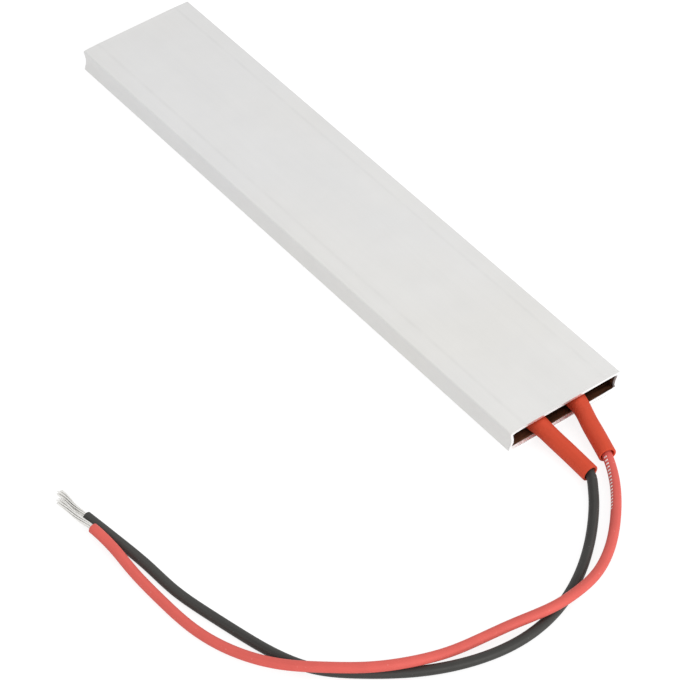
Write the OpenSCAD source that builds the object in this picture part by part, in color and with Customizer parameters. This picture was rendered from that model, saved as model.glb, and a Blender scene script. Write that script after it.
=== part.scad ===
// Flat ceramic heater: four ceramic tiles between two electrode strips, wrapped in film
// and pressed inside an aluminium tube, with two sleeved leads at one end.
// The origin is the middle of the tube's underside. +X runs along the tube towards the
// open mouth that the leads leave by, +Y runs across it, and +Z is up. Sizes are in millimetres.

/* [Aluminium tube] */
// Length of the tube
tube_length = 110; // [80:1:160]
// Width of the tube over its side walls
tube_width = 21.2; // [20.6:0.1:26]
// Height of the tube over its two pressed faces
tube_height = 4.3; // [4.2:0.1:5]
// Thickness of the tube's wall
tube_wall = 0.45; // [0.3:0.05:0.5]
// Radius of the tube's four long outer edges
edge_radius = 0.25; // [0.15:0.05:0.4]
// Depth of the crease along each side wall, where the press folds it inwards
crease_depth = 0.35; // [0.1:0.05:0.6]
// Drop of each face from its pressed band to the long edges
margin_drop = 0.1; // [0.02:0.02:0.2]
// Width of the thick web in the two upper corners of the cavity
corner_web_width = 0.6; // [0.4:0.1:1]
// Height of that web
corner_web_height = 0.15; // [0.1:0.05:0.4]

/* [Insulating film] */
// Thickness of the film wrapped around the core
film_thickness = 0.1; // [0.05:0.01:0.15]
// How far the film ends inside each end of the tube
film_recess = 0.5; // [0.12:0.01:1]
// Gap between the film's folded edges and the crease of the tube
film_side_gap = 0.1; // [0.05:0.05:0.3]
// Size of the bevel along each folded edge of the film
film_fold = 0.4; // [0.3:0.05:0.6]

/* [Heating core] */
// Width of the ceramic tiles and of the electrode strips
tile_width = 15; // [12:0.5:16]
// Gap between neighbouring tiles
tile_gap = 0.4; // [0.1:0.1:2]
// Bevel on the four upright corners of a tile
tile_bevel = 0.5; // [0.2:0.1:1]
// Thickness of the electrode strips
electrode_thickness = 0.3; // [0.15:0.05:0.35]
// Distance of the core from the closed end of the film
core_setback = 0.6; // [0.3:0.1:3]
// How far the press tool reaches past the core on each side
press_margin = 0.4; // [0:0.1:0.6]

/* [Terminals] */
// Width of the tongue at the end of each electrode strip
tongue_width = 1.4; // [1:0.1:1.8]
// Length over which the tongue steps down to its conductor
tongue_run = 1.2; // [0.8:0.1:2]
// Length of the crimp band around a tongue and its conductor
crimp_length = 3; // [2:0.5:4]
// Thickness of the crimp band
crimp_wall = 0.15; // [0.1:0.05:0.2]

/* [Leads] */
// Diameter over the insulation of a lead
lead_diameter = 1.6; // [1.4:0.1:1.8]
// Diameter of one wire of a conductor
strand_diameter = 0.3; // [0.22:0.02:0.32]
// How far the insulation reaches back inside the mouth
jacket_inset = 4; // [3:0.5:6]
// Turn of the wires around each other in a bare end, in degrees
strand_twist = 200; // [60:20:300]
// How much the wires spread at their free tips
strand_splay = 0.6; // [0:0.1:0.8]

/* [Sleeves] */
// Wall of the silicone sleeve over each lead
sleeve_wall = 0.35; // [0.3:0.05:0.4]
// Slack all round between a lead and its sleeve
sleeve_slack = 0.25; // [0.2:0.01:0.32]
// Width of a sleeve where the film squeezes it flat over its crimp band
sleeve_flat_width = 4; // [3.6:0.1:4.4]
// Slack between the flattened sleeve and the film above and below it
sleeve_mouth_gap = 0.05; // [0.03:0.01:0.1]
// How far the sleeve covers the tongue behind its crimp band
sleeve_cover = 0.6; // [0.3:0.1:1]

/* [Hidden] */

TILE_COUNT = 4;
LEAD_SIDES = 10;
SLEEVE_SIDES = 16;
STRAND_SIDES = 6;
OUTER_STRANDS = 6;
LEAD_RINGS = 56;
SLEEVE_RINGS = 14;
TIP_RINGS = 9;
CRIMPED_RINGS = 4;

// The middle of the mouth and the levels of the cavity
mouth_x = tube_length / 2;
half_width = tube_width / 2;
mid_z = tube_height / 2;
cavity_half = half_width - tube_wall;
band_half = tile_width / 2 + press_margin;

// The core between the film's layers
film_half = cavity_half - crease_depth - film_side_gap;
film_inner_z = mid_z - tube_wall - film_thickness;
tile_half_z = film_inner_z - electrode_thickness;

// The terminals, laid out backwards from the mouth
lead_radius = lead_diameter / 2;
surface_gap = 0.01;
strand_gap = 0.01;
strand_lay = strand_diameter + strand_gap;
bundle_radius = strand_lay + strand_diameter / 2;
crimp_gap = 0.4;
jacket_x = mouth_x - jacket_inset;
tongue_end_x = jacket_x - crimp_gap;
crimp_x = tongue_end_x - crimp_length;
sleeve_x = crimp_x - sleeve_cover;
tongue_gap = 0.4;
core_end_x = sleeve_x - tongue_run - 2 * tongue_gap;
core_start_x = -mouth_x + film_recess + film_thickness + core_setback;
tile_length = (core_end_x - core_start_x - (TILE_COUNT - 1) * tile_gap) / TILE_COUNT;

// The sleeves, flattened inside the film and nearly round again in the mouth
sleeve_bore = lead_diameter + 2 * sleeve_slack;
sleeve_diameter = sleeve_bore + 2 * sleeve_wall;
sleeve_radius = sleeve_diameter / 2;
sleeve_flat_half = min(film_inner_z - sleeve_mouth_gap, sleeve_radius);
sleeve_round_start = -6;
sleeve_round_run = 8;
flat_squareness = 0.75;

// Places across the tube where the leads are joined
red_y = 2.8;
black_y = -4.8;

// Route points of the red lead: distance from the mouth, place across, height
RED_START = [
    [-jacket_inset, red_y, mid_z],
    [-1, red_y, mid_z],
    [4, 1.5, mid_z - 0.1],
    [10, -0.2, 1.4]
];

// Then distance from the mouth, place across, and lift off the surface in lead diameters
RED_LAID = [
    [14.8, -2.8, 0],
    [19.3, -6.7, 0],
    [23.4, -11.1, 0.1],
    [26.6, -16.2, 0.5],
    [28.1, -21.1, 1.1],
    [28.5, -26.4, 1.2],
    [26.6, -31.8, 0.6],
    [25.4, -37.5, 0.1],
    [25.1, -42.9, 0.5],
    [23.6, -48.9, 1.1],
    [21, -53.7, 1.1],
    [17.4, -57.9, 1],
    [12.4, -62.8, 0.5],
    [6, -66.1, 0.1],
    [-0.5, -67.9, 0],
    [-7.5, -68.2, 0],
    [-14.5, -68.4, 0.1],
    [-19, -68.05, 0.45],
    [-24.6, -68.5, 0.75]
];

// The black lead, in the same way
BLACK_START = [
    [-jacket_inset, black_y, mid_z],
    [0, black_y, mid_z],
    [4.5, -4.85, mid_z - 0.15],
    [9, -4.75, 1.6],
    [11.4, -4.55, 1.35],
    [13.1, -5.9, 1]
];
BLACK_LAID = [
    [15, -7.2, 0],
    [18.8, -10.7, 0],
    [22.7, -15.2, 0],
    [25.9, -20.1, 0],
    [28.2, -25.6, 0],
    [29.2, -31.5, 0],
    [28.7, -37.4, 0],
    [26.9, -43.3, 0],
    [24.1, -48.7, 0],
    [20.3, -53.8, 0],
    [15.9, -58.9, 0],
    [9.9, -61.6, 0],
    [4, -63.1, 0],
    [-2, -64.5, 0],
    [-8, -65.8, 0],
    [-14, -65.8, 0],
    [-20, -66.5, 0],
    [-28.4, -67.55, 0]
];

// Route points of the sleeves: distance from the mouth, place across, height
RED_SLEEVE = [
    [sleeve_x - mouth_x, red_y, mid_z],
    [-4, red_y, mid_z],
    [0, 2.45, mid_z],
    [5.5, 0.95, mid_z - 0.25],
    [10.3, -0.47, sleeve_radius + 0.02]
];
BLACK_SLEEVE = [
    [sleeve_x - mouth_x, black_y, mid_z],
    [-4, black_y, mid_z],
    [0, -4.92, mid_z],
    [6, -4.78, mid_z - 0.25],
    [11.4, -4.74, sleeve_radius + 0.02]
];

// Route points of each lead's bare wires, as offsets from the end of its insulation
RED_TIP = [[-2.3, -0.5, -0.4], [-5, -0.3, -0.8], [-7.7, -0.35, -1.2]];
BLACK_TIP = [[-1.7, -0.3, 0], [-3.5, -0.05, 0], [-5.3, -0.28, 0]];

// A lead's whole route in the tube's frame
function laid_route(start, laid) = concat(
    [for (p = start) [mouth_x + p[0], p[1], p[2]]],
    [for (p = laid) [mouth_x + p[0], p[1], surface_gap + lead_radius + p[2] * lead_diameter]]
);

// A list of points, all moved by the same offset
function shifted(points, offset) = [for (p = points) p + offset];

// A lead's route carried on by the route of its bare wires
function with_tip(route, tip) = concat(route, shifted(tip, route[len(route) - 1]));

RED_ROUTE = laid_route(RED_START, RED_LAID);
BLACK_ROUTE = laid_route(BLACK_START, BLACK_LAID);

// A point of a list, carried on straight past both of its ends
function guide(points, i) =
    i < 0 ? 2 * points[0] - points[1]
    : i >= len(points) ? 2 * points[len(points) - 1] - points[len(points) - 2]
    : points[i];

// A smooth cubic curve that starts and ends at the first and last points
function curve_point(points, u) =
    let (i = min(floor(u), len(points) - 2), t = u - i)
    (pow(1 - t, 3) * guide(points, i - 1)
        + (3 * pow(t, 3) - 6 * pow(t, 2) + 4) * guide(points, i)
        + (-3 * pow(t, 3) + 3 * pow(t, 2) + 3 * t + 1) * guide(points, i + 1)
        + pow(t, 3) * guide(points, i + 2)) / 6;

// Unit direction of that curve
function curve_direction(points, u) =
    let (step = 0.01, a = curve_point(points, max(u - step, 0)),
        b = curve_point(points, min(u + step, len(points) - 1)))
    (b - a) / norm(b - a);

// Position along a curve of ring number i out of count, between two positions
function ring_place(from_u, to_u, i, count) = from_u + i * (to_u - from_u) / (count - 1);

// The level direction to the side of a travel direction
function side_of(direction) =
    let (side = cross(direction, [0, 0, 1]))
    side / norm(side);

// A value's power that keeps its sign
function signed_power(value, exponent) = sign(value) * pow(abs(value), exponent);

// One ring of points: an ellipse when squareness is 1, nearer to a box below 1
function ring_points(centre, direction, half_across, half_up, squareness, sides) =
    let (side = side_of(direction), up = cross(side, direction))
    [for (k = [0:sides - 1])
        let (angle = 360 * k / sides)
        centre + half_across * signed_power(cos(angle), squareness) * side
            + half_up * signed_power(sin(angle), squareness) * up];

// The rings of a lead's insulation, along a route up to one of its points
function jacket_rings(points, last) =
    [for (i = [0:LEAD_RINGS - 1])
        let (u = ring_place(0, last, i, LEAD_RINGS))
        ring_points(curve_point(points, u), curve_direction(points, u), lead_radius, lead_radius,
            1, LEAD_SIDES)];

// Share of the way from flat to round for a sleeve ring at a distance past the mouth
function rounding(distance) =
    let (share = min(max((distance - sleeve_round_start) / sleeve_round_run, 0), 1))
    share * share * (3 - 2 * share);

// The rings of a sleeve, at its outside or, with its wall taken off, at its inside
function sleeve_rings(points, wall) =
    [for (i = [0:SLEEVE_RINGS - 1])
        let (u = ring_place(0, len(points) - 1, i, SLEEVE_RINGS), centre = curve_point(points, u),
            share = rounding(centre[0] - mouth_x),
            across = sleeve_flat_width / 2 * (1 - share) + sleeve_radius * share,
            up = sleeve_flat_half * (1 - share) + sleeve_radius * share)
        ring_points(centre, curve_direction(points, u), across - wall, up - wall,
            flat_squareness * (1 - share) + share, SLEEVE_SIDES)];

// The rings of one wire that winds around a route at a distance from it, from a point onwards
function wire_rings(points, first, lay, phase, turn, splay, count) =
    [for (i = [0:count - 1])
        let (u = ring_place(first, len(points) - 1, i, count), share = i / (count - 1),
            direction = curve_direction(points, u), side = side_of(direction),
            up = cross(side, direction), angle = phase + turn * share,
            reach = lay * (1 + splay * share * share))
        ring_points(curve_point(points, u) + reach * (cos(angle) * side + sin(angle) * up),
            direction, strand_diameter / 2, strand_diameter / 2, 1, STRAND_SIDES)];

// The four-sided faces between two neighbouring rings of points, as triangles
function band_faces(first, second, sides) =
    [for (k = [0:sides - 1], half = [0, 1])
        let (next = (k + 1) % sides)
        half == 0 ? [first + k, first + next, second + next]
        : [first + k, second + next, second + k]];

// A solid bar through a list of rings
module swept_bar(rings) {
    sides = len(rings[0]);
    count = len(rings);
    sides_list = [for (k = [0:sides - 1]) k];
    polyhedron(
        points = [for (ring = rings, p = ring) p],
        faces = concat(
            [[for (k = sides_list) sides - 1 - k]],
            [for (i = [0:count - 2]) each band_faces(i * sides, (i + 1) * sides, sides)],
            [[for (k = sides_list) (count - 1) * sides + k]]
        )
    );
}

// A hollow tube between a list of outer rings and a list of inner rings
module swept_tube(outer, inner) {
    sides = len(outer[0]);
    count = len(outer);
    inner_base = sides * count;
    last = (count - 1) * sides;
    polyhedron(
        points = concat([for (ring = outer, p = ring) p], [for (ring = inner, p = ring) p]),
        faces = concat(
            [for (i = [0:count - 2]) each band_faces(i * sides, (i + 1) * sides, sides)],
            [for (i = [0:count - 2])
                each band_faces(inner_base + (i + 1) * sides, inner_base + i * sides, sides)],
            band_faces(inner_base, 0, sides),
            band_faces(last, inner_base + last, sides)
        )
    );
}

// Carries a flat drawing of the tube's section along the tube, from one place to another
module along_tube(from_x, to_x) {
    translate([from_x, 0, 0]) rotate([90, 0, 90]) linear_extrude(to_x - from_x) children();
}

// How far a face has dropped at a distance from the middle of the tube
function face_drop(y) =
    margin_drop * min(max((y - band_half) / (half_width - edge_radius - band_half), 0), 1);

// The other half of a list of points, mirrored across the tube and taken backwards
function mirrored(points) = [for (i = [len(points) - 1:-1:0]) [-points[i][0], points[i][1]]];

// Outside of the tube's section, with a crease halfway up each side
module tube_outline() {
    edge_y = half_width - edge_radius;
    low_z = margin_drop + edge_radius;
    right = [
        [band_half, 0],
        [edge_y, margin_drop],
        [half_width, low_z],
        [half_width - crease_depth, mid_z],
        [half_width, tube_height - low_z],
        [edge_y, tube_height - margin_drop],
        [band_half, tube_height]
    ];
    polygon(concat(right, mirrored(right)));
    for (y = [-edge_y, edge_y], z = [low_z, tube_height - low_z])
        translate([y, z]) circle(edge_radius, $fn = 32);
}

// Inside of the tube's section, with a thick web in its two upper corners
module tube_cavity() {
    web_y = cavity_half - corner_web_width;
    top_z = tube_height - tube_wall;
    right = [
        [band_half, tube_wall],
        [cavity_half, tube_wall + face_drop(cavity_half)],
        [cavity_half - crease_depth, mid_z],
        [cavity_half, top_z - face_drop(cavity_half) - corner_web_height],
        [web_y, top_z - face_drop(web_y)],
        [band_half, top_z]
    ];
    polygon(concat(right, mirrored(right)));
}

// The film's section, at its outside or, with an inset, further in
module film_section(inset) {
    side_y = film_half - inset;
    fold_y = side_y - film_fold;
    low_z = tube_wall + inset;
    high_z = tube_height - low_z;
    fold_drop = face_drop(fold_y);
    right = [
        [band_half, low_z],
        [fold_y, low_z + fold_drop],
        [side_y, low_z + fold_drop + film_fold],
        [side_y, high_z - fold_drop - film_fold],
        [fold_y, high_z - fold_drop],
        [band_half, high_z]
    ];
    polygon(concat(right, mirrored(right)));
}

// A flat box with round corners, drawn around its middle
module round_box(width, height, radius) {
    square([width - 2 * radius, height], center = true);
    square([width, height - 2 * radius], center = true);
    for (y = [-1, 1], z = [-1, 1])
        translate([y * (width / 2 - radius), z * (height / 2 - radius)]) circle(radius, $fn = 24);
}

// Extruded aluminium tube, pressed flat on the core, with creased sides and two open ends
module aluminium_tube() {
    color("gainsboro") along_tube(-mouth_x, mouth_x) difference() {
        tube_outline();
        tube_cavity();
    }
}

// Film wrapped around the core, folded shut at the far end with one flap over the fold
module insulating_film() {
    flap_top = mid_z + film_inner_z / 2;
    far_x = -mouth_x + film_recess;
    color("saddlebrown") {
        along_tube(far_x + film_thickness, mouth_x - film_recess) difference() {
            film_section(0);
            film_section(film_thickness);
        }
        along_tube(far_x, far_x + film_thickness) film_section(0);
        along_tube(far_x - film_thickness, far_x) polygon([
            [-band_half, tube_wall], [band_half, tube_wall],
            [band_half - film_fold, flap_top], [-band_half + film_fold, flap_top]
        ]);
    }
}

// Electrode strip above the middle, with a tongue that steps down to its conductor
module electrode(lead_y) {
    strip_z = tile_half_z;
    step_x = core_end_x + tongue_gap;
    rest_x = step_x + tongue_run;
    rest_z = bundle_radius + strand_gap;
    translate([core_start_x, -tile_width / 2, strip_z])
        cube([core_end_x - core_start_x, tile_width, electrode_thickness]);
    translate([0, lead_y + tongue_width / 2, 0]) rotate([90, 0, 0]) linear_extrude(tongue_width)
        polygon([
            [core_end_x - tongue_gap, strip_z],
            [step_x, strip_z],
            [rest_x, rest_z],
            [tongue_end_x, rest_z],
            [tongue_end_x, rest_z + electrode_thickness],
            [rest_x, rest_z + electrode_thickness],
            [step_x, strip_z + electrode_thickness],
            [core_end_x - tongue_gap, strip_z + electrode_thickness]
        ]);
}

// The upper strip carries the red lead
module upper_electrode() {
    color("silver") translate([0, 0, mid_z]) electrode(red_y);
}

// The lower strip is the same piece turned over, for the black lead
module lower_electrode() {
    color("silver") translate([0, 0, mid_z]) mirror([0, 0, 1]) electrode(black_y);
}

// One ceramic tile of the row, with bevelled upright corners
module ptc_tile(number) {
    start_x = core_start_x + (number - 1) * (tile_length + tile_gap);
    color("dimgray") translate([start_x + tile_length / 2, 0, mid_z - tile_half_z])
        linear_extrude(2 * tile_half_z) difference() {
            square([tile_length, tile_width], center = true);
            for (x = [-1, 1], y = [-1, 1]) translate([x * tile_length / 2, y * tile_width / 2])
                rotate(45) square(tile_bevel * sqrt(2), center = true);
        }
}

// Band folded around a tongue above the middle and the conductor under it, butted below
module crimp_band() {
    inner_height = 2 * bundle_radius + 2 * strand_gap + electrode_thickness;
    centre_z = electrode_thickness / 2;
    seam = 0.08;
    corner = 0.1;
    translate([crimp_x, 0, centre_z]) rotate([90, 0, 90]) linear_extrude(crimp_length) difference() {
        round_box(tongue_width + 2 * crimp_wall, inner_height + 2 * crimp_wall, corner + crimp_wall);
        square([tongue_width, inner_height], center = true);
        translate([-seam / 2, -inner_height / 2 - 2 * crimp_wall])
            square([seam, 3 * crimp_wall]);
    }
}

// Crimp on the upper strip's tongue
module red_crimp_band() {
    color("gold") translate([0, red_y, mid_z]) crimp_band();
}

// Crimp on the lower strip's tongue, the same piece turned over
module black_crimp_band() {
    color("gold") translate([0, black_y, mid_z]) mirror([0, 0, 1]) crimp_band();
}

// Silicone sleeve, flattened in the mouth and round where the lead comes out of it
module lead_sleeve(points) {
    route = shifted(points, [mouth_x, 0, 0]);
    color("tomato") swept_tube(sleeve_rings(route, 0), sleeve_rings(route, sleeve_wall));
}

module red_lead_sleeve() {
    lead_sleeve(RED_SLEEVE);
}

module black_lead_sleeve() {
    lead_sleeve(BLACK_SLEEVE);
}

// Insulation of the red lead, which passes over the black one twice
module red_lead() {
    route = with_tip(RED_ROUTE, RED_TIP);
    color("indianred") swept_bar(jacket_rings(route, len(RED_ROUTE) - 1));
}

// Insulation of the black lead, which lies on the surface all the way
module black_lead() {
    route = with_tip(BLACK_ROUTE, BLACK_TIP);
    color("dimgray") swept_bar(jacket_rings(route, len(BLACK_ROUTE) - 1));
}

// A bundle of wires from a point of a route to its end, one in the middle of the others
module wire_bundle(points, first, turn, splay, count) {
    swept_bar(wire_rings(points, first, 0, 0, 0, 0, count));
    for (k = [0:OUTER_STRANDS - 1])
        swept_bar(wire_rings(points, first, strand_lay, k * 360 / OUTER_STRANDS, turn, splay, count));
}

// The bare wires at both ends of a lead: in its crimp, and at its free end
module lead_strands(route, lead_y, tip) {
    crimped = [for (x = [crimp_x, (crimp_x + jacket_x) / 2, jacket_x]) [x, lead_y, mid_z]];
    color("lightgray") {
        wire_bundle(crimped, 0, 0, 0, CRIMPED_RINGS);
        wire_bundle(with_tip(route, tip), len(route) - 1, strand_twist, strand_splay, TIP_RINGS);
    }
}

module red_lead_strands() {
    lead_strands(RED_ROUTE, red_y, RED_TIP);
}

module black_lead_strands() {
    lead_strands(BLACK_ROUTE, black_y, BLACK_TIP);
}

aluminium_tube();
insulating_film();
upper_electrode();
lower_electrode();
ptc_tile(1);  // ptc_tile_1
ptc_tile(2);  // ptc_tile_2
ptc_tile(3);  // ptc_tile_3
ptc_tile(4);  // ptc_tile_4
red_crimp_band();
black_crimp_band();
red_lead_sleeve();
black_lead_sleeve();
red_lead();
black_lead();
red_lead_strands();
black_lead_strands();
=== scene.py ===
"""Finished looks of a flat ceramic heater in a pressed aluminium tube.

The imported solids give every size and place. This script builds the skins that show: the drawn
tube with its cut mouths, the amber film inside it, and for each lead a silicone sleeve, a
jacket and twisted bare wires. Each piece and each carried-over solid gets a procedural finish.
Sizes are written in millimetres and become metres when a piece is finished.
"""

import logging
import math
import random
from bisect import bisect_left
from dataclasses import dataclass, field
from enum import Enum
from typing import Callable, Mapping, Optional, Sequence

import bmesh
import bpy
from mathutils import Matrix, Vector, noise


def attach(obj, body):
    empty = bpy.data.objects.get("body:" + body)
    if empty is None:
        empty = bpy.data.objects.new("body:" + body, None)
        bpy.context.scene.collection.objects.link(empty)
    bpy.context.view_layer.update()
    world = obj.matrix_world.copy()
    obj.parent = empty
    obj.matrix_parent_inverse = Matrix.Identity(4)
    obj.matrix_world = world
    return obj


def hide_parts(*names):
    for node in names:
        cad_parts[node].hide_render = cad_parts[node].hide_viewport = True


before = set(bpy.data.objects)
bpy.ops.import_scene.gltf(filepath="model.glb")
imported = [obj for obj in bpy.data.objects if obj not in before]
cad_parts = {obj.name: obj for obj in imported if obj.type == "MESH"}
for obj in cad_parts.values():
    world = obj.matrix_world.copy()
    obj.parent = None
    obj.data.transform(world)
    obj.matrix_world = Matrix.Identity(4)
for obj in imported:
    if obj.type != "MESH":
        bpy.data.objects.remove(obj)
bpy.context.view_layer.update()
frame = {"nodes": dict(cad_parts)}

LOG = logging.getLogger("flat_heater")
MM = 0.001
BODY = "root"
SEED = 24
UNBENT = "unbent"
WHITE = (1.0, 1.0, 1.0, 1.0)
MID_GREY = (0.5, 0.5, 0.5, 1.0)
PALE_GREY = (0.8, 0.8, 0.8, 1.0)
# Most of a noise field lies between these values.
NOISE_LOW, NOISE_HIGH = 0.3, 0.7
# Places closer than this, in millimetres, count as one where edges are picked.
CLOSE = 0.01
# Where the middle ring of a rounded lip lies, as a share of the lip from both its sides.
ROUNDING = 0.3

Colour = tuple[float, float, float]
Point = tuple[float, float, float]
Pair = tuple[float, float]
Socket = bpy.types.NodeSocket
Mesh = bmesh.types.BMesh
Edge = bmesh.types.BMEdge


def clamp(value: float, low: float = 0.0, high: float = 1.0) -> float:
    """The value, or the limit that it lies past."""
    return min(max(value, low), high)


def eased(share: float) -> float:
    """A share held from 0 to 1, with a gentle start and end."""
    held = clamp(share)
    return held * held * (3.0 - 2.0 * held)


# --- shader graphs


class Graph:
    """Places and joins the nodes of one material or of one node group."""

    def __init__(self, tree: bpy.types.NodeTree) -> None:
        """Empties the node tree that it is to fill."""
        self.tree = tree
        tree.nodes.clear()

    def add(self, kind: str, **settings: object) -> bpy.types.Node:
        """Adds a node.

        Args:
            kind: The node's type name, such as ShaderNodeMath.
            settings: Properties to set on it.

        Returns:
            The new node.
        """
        node = self.tree.nodes.new(kind)
        for name, value in settings.items():
            setattr(node, name, value)
        return node

    def feed(self, target: Socket, source: object) -> None:
        """Joins a socket to a source, or sets it where the source is a plain value.

        Args:
            target: The input socket.
            source: An output socket, or a number, vector or colour.
        """
        if isinstance(source, bpy.types.NodeSocket):
            self.tree.links.new(source, target)
        else:
            target.default_value = source

    def math(self, operation: str, first: object, second: object = 0.0) -> Socket:
        """Joins two values by arithmetic.

        Args:
            operation: The Math node's operation.
            first: A socket or a number.
            second: A socket or a number.

        Returns:
            The result's socket.
        """
        node = self.add("ShaderNodeMath", operation=operation)
        self.feed(node.inputs[0], first)
        self.feed(node.inputs[1], second)
        return node.outputs[0]

    def times(self, first: object, *others: object) -> Socket:
        """Multiplies values.

        Args:
            first: A socket or a number.
            others: What it is multiplied by, in turn.

        Returns:
            The product's socket.
        """
        for other in others:
            first = self.math("MULTIPLY", first, other)
        return first

    def weighted(self, first: tuple[Socket, float], second: tuple[Socket, float]) -> Socket:
        """The sum of two values, each times its weight."""
        return self.math("ADD", self.times(*first), self.times(*second))

    def vector(self, operation: str, first: object, second: object) -> Socket:
        """Joins two vectors.

        Args:
            operation: The Vector Math node's operation; SCALE takes a number second.
            first: A socket or a vector.
            second: A socket, a vector or, for SCALE, a number.

        Returns:
            The result's socket.
        """
        node = self.add("ShaderNodeVectorMath", operation=operation)
        self.feed(node.inputs[0], first)
        self.feed(node.inputs["Scale" if operation == "SCALE" else 1], second)
        return node.outputs[0]

    def remap(self, value: object, low: float, high: float, to_low: object,
              to_high: object) -> Socket:
        """Maps a range onto another and stops at its ends.

        Args:
            value: The value to map.
            low: Where the source range starts.
            high: Where it ends.
            to_low: What its start becomes.
            to_high: What its end becomes.

        Returns:
            The mapped value's socket.
        """
        node = self.add("ShaderNodeMapRange")
        for slot, source in enumerate((value, low, high, to_low, to_high)):
            self.feed(node.inputs[slot], source)
        return node.outputs[0]

    def swing(self, cloud: Socket, low: float, high: float) -> Socket:
        """Maps the usual span of a noise field onto another range."""
        return self.remap(cloud, NOISE_LOW, NOISE_HIGH, low, high)

    def vary(self, cloud: Socket, middle: float, spread: float) -> Socket:
        """A number that a noise field moves by a spread to each side."""
        return self.swing(cloud, middle - spread, middle + spread)

    def blend(self, factor: object, first: object, second: object) -> Socket:
        """Mixes two colours.

        Args:
            factor: 0 gives the first colour and 1 the second.
            first: A socket or an RGBA colour.
            second: A socket or an RGBA colour.

        Returns:
            The mixed colour's socket.
        """
        node = self.add("ShaderNodeMix", data_type="RGBA")
        self.feed(node.inputs["Factor"], factor)
        self.feed(node.inputs[6], first)
        self.feed(node.inputs[7], second)
        return node.outputs[2]

    def speckle(self, place: object, scale: object, detail: float = 3.0,
                roughness: float = 0.55) -> Socket:
        """Reads a noise field.

        Args:
            place: Where to read it.
            scale: Its scale.
            detail: How many finer layers it has.
            roughness: How strong those layers are.

        Returns:
            The noise value's socket, from 0 to 1.
        """
        node = self.add("ShaderNodeTexNoise")
        self.feed(node.inputs["Vector"], place)
        self.feed(node.inputs["Scale"], scale)
        node.inputs["Detail"].default_value = detail
        node.inputs["Roughness"].default_value = roughness
        return node.outputs["Fac"]

    def axes(self, place: object) -> tuple[Socket, ...]:
        """Splits a vector.

        Args:
            place: The vector.

        Returns:
            The sockets of its three numbers.
        """
        node = self.add("ShaderNodeSeparateXYZ")
        self.feed(node.inputs[0], place)
        return tuple(node.outputs)

    def combine(self, *numbers: object) -> Socket:
        """Makes a vector.

        Args:
            numbers: Its three numbers.

        Returns:
            The vector's socket.
        """
        node = self.add("ShaderNodeCombineXYZ")
        for slot, number in enumerate(numbers):
            self.feed(node.inputs[slot], number)
        return node.outputs[0]

    def on_object(self) -> Socket:
        """Object coordinates, which are the part's own frame in metres."""
        return self.add("ShaderNodeTexCoord").outputs["Object"]

    def on_route(self) -> Socket:
        """A cord's own coordinates: distance along it, then its straight cross-section."""
        node = self.add("ShaderNodeAttribute", attribute_type="GEOMETRY", attribute_name=UNBENT)
        return node.outputs["Vector"]

    def effect(self, group: bpy.types.NodeTree, **values: object) -> Socket:
        """Places a shared effect.

        Args:
            group: The effect's node group.
            values: Its inputs by name.

        Returns:
            The group's one output.
        """
        node = self.add("ShaderNodeGroup", node_tree=group)
        for name, value in values.items():
            self.feed(node.inputs[name], value)
        return node.outputs[0]

    def relief(self, height: object, depth: float, strength: float = 1.0) -> Socket:
        """Turns a height into a bumped normal.

        Args:
            height: The height's socket.
            depth: How many millimetres a height of 1 stands for.
            strength: How much of the bump is used.

        Returns:
            The normal's socket.
        """
        node = self.add("ShaderNodeBump")
        node.inputs["Strength"].default_value = strength
        node.inputs["Distance"].default_value = depth * MM
        self.feed(node.inputs["Height"], height)
        return node.outputs["Normal"]


def rgba(colour: Colour) -> tuple[float, float, float, float]:
    """A colour with full alpha."""
    return (*colour, 1.0)


class Puts(Enum):
    """What a shared effect puts out: the name and type of its output."""

    HEIGHT = ("Height", "NodeSocketFloat")
    COLOUR = ("Color", "NodeSocketColor")


Given = Mapping[str, Socket]


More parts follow.
